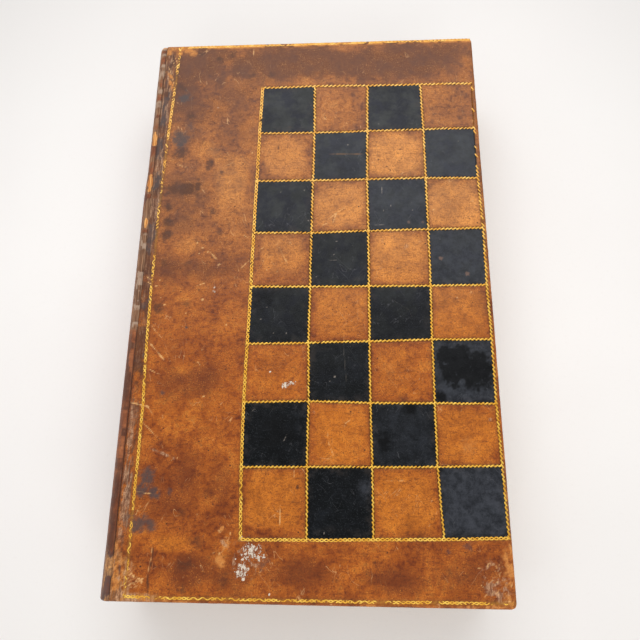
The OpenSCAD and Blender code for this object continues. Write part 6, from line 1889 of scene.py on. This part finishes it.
WALLY = wood("wall_wood_y", [lin(92, 52, 28), lin(124, 74, 40), lin(150, 96, 56)], "y")
DARKW = turned_wood("dark_wood", [lin(34, 20, 14), lin(52, 30, 20), lin(76, 46, 28)])
LIGHTW = turned_wood("light_wood", [lin(172, 122, 68), lin(200, 152, 92), lin(220, 178, 120)])
BRASS, PAGES, BONE = brass(), paper(), bone()
THREAD = simple_leather("thread", [lin(150, 118, 74), lin(186, 152, 104), lin(214, 184, 138)], 0.5, (0.6, 0.75), 0.25)

for lid in (True, False):
    tray, body = ("lid", "lid") if lid else ("base", "base")
    cover_skin(lid, TAN, body, tray)
    squares(lid, True, BLACK, body, tray)
    squares(lid, False, TAN, body, tray)
    gilt_lines(lid, GILT, body, tray)
    spine_skin(lid, SPINE, body, tray)
    spine_gilt(lid, GILT, body, tray)
    page_block(lid, tray, PAGES, body)
    point_lines(lid, GILT, body, tray)
    # the board under the leather, its joint edge eased for the groove
    prof = [(X_C + 1.52, 5.18), (X_C + 1.52, 3.05), (X_C + 2.72, 1.2), (135.55, 1.2), (135.55, 5.08)]
    V = [(x, y, d) for y in (-220.7, 220.7) for x, d in prof]
    F = [np.array([[0, 1, 2, 3, 4]]), np.array([[9, 8, 7, 6, 5]]), np.array([[k, 5 + k, 5 + (k + 1) % 5, (k + 1) % 5] for k in range(5)])]
    F, _ = orient(F, F)
    piece(f"{tray}_board_core", V, F, body, BOARD, lid, (f"{tray}_cover_board",), False)
    for part, mat in (("head_wall", WALLX), ("tail_wall", WALLX), ("hinge_wall", WALLY), ("spine_wall", WALLY), ("spine_block", WALLY)):
        dress(f"{tray}_{part}", mat, 0.25)
    for part in ("head", "tail", "spine", "hinge"):
        dress(f"{tray}_rim_{part}", RIM, 0.5, 3)
    dress(f"{tray}_spine_labels", LABEL, 0.1)
    dress(f"{tray}_lining", LINING, 0.0)
    dress(f"{tray}_dark_points", DARKPT, 0.15)
    dress(f"{tray}_light_points", LIGHTPT, 0.15)
for node in ("hinge_leaves_base", "hinge_leaves_lid", "hinge_pins", "hinge_screws_base", "hinge_screws_lid",
             "head_hook", "tail_hook", "hook_pivot_screws", "hook_studs"):
    dress(node, BRASS, 0.12)
draughtsmen()
dice_cup("dice_cup_a", -84.425, -130.0, 1)
dice_cup("dice_cup_b", -72.425, 132.0, -1)
for k, (x, y, turn, faces) in enumerate((
    (-101.425, -27, 24, (5, 2, 3, 4, 6, 1)), (-81.425, -17, -12, (3, 4, 1, 6, 2, 5)),
    (-97.425, 8, 40, (6, 1, 5, 2, 4, 3)), (-71.425, 22, 8, (1, 6, 4, 3, 5, 2)),
)):
    bone_die(f"die_{k + 1}", x, y, turn, faces)

studio()
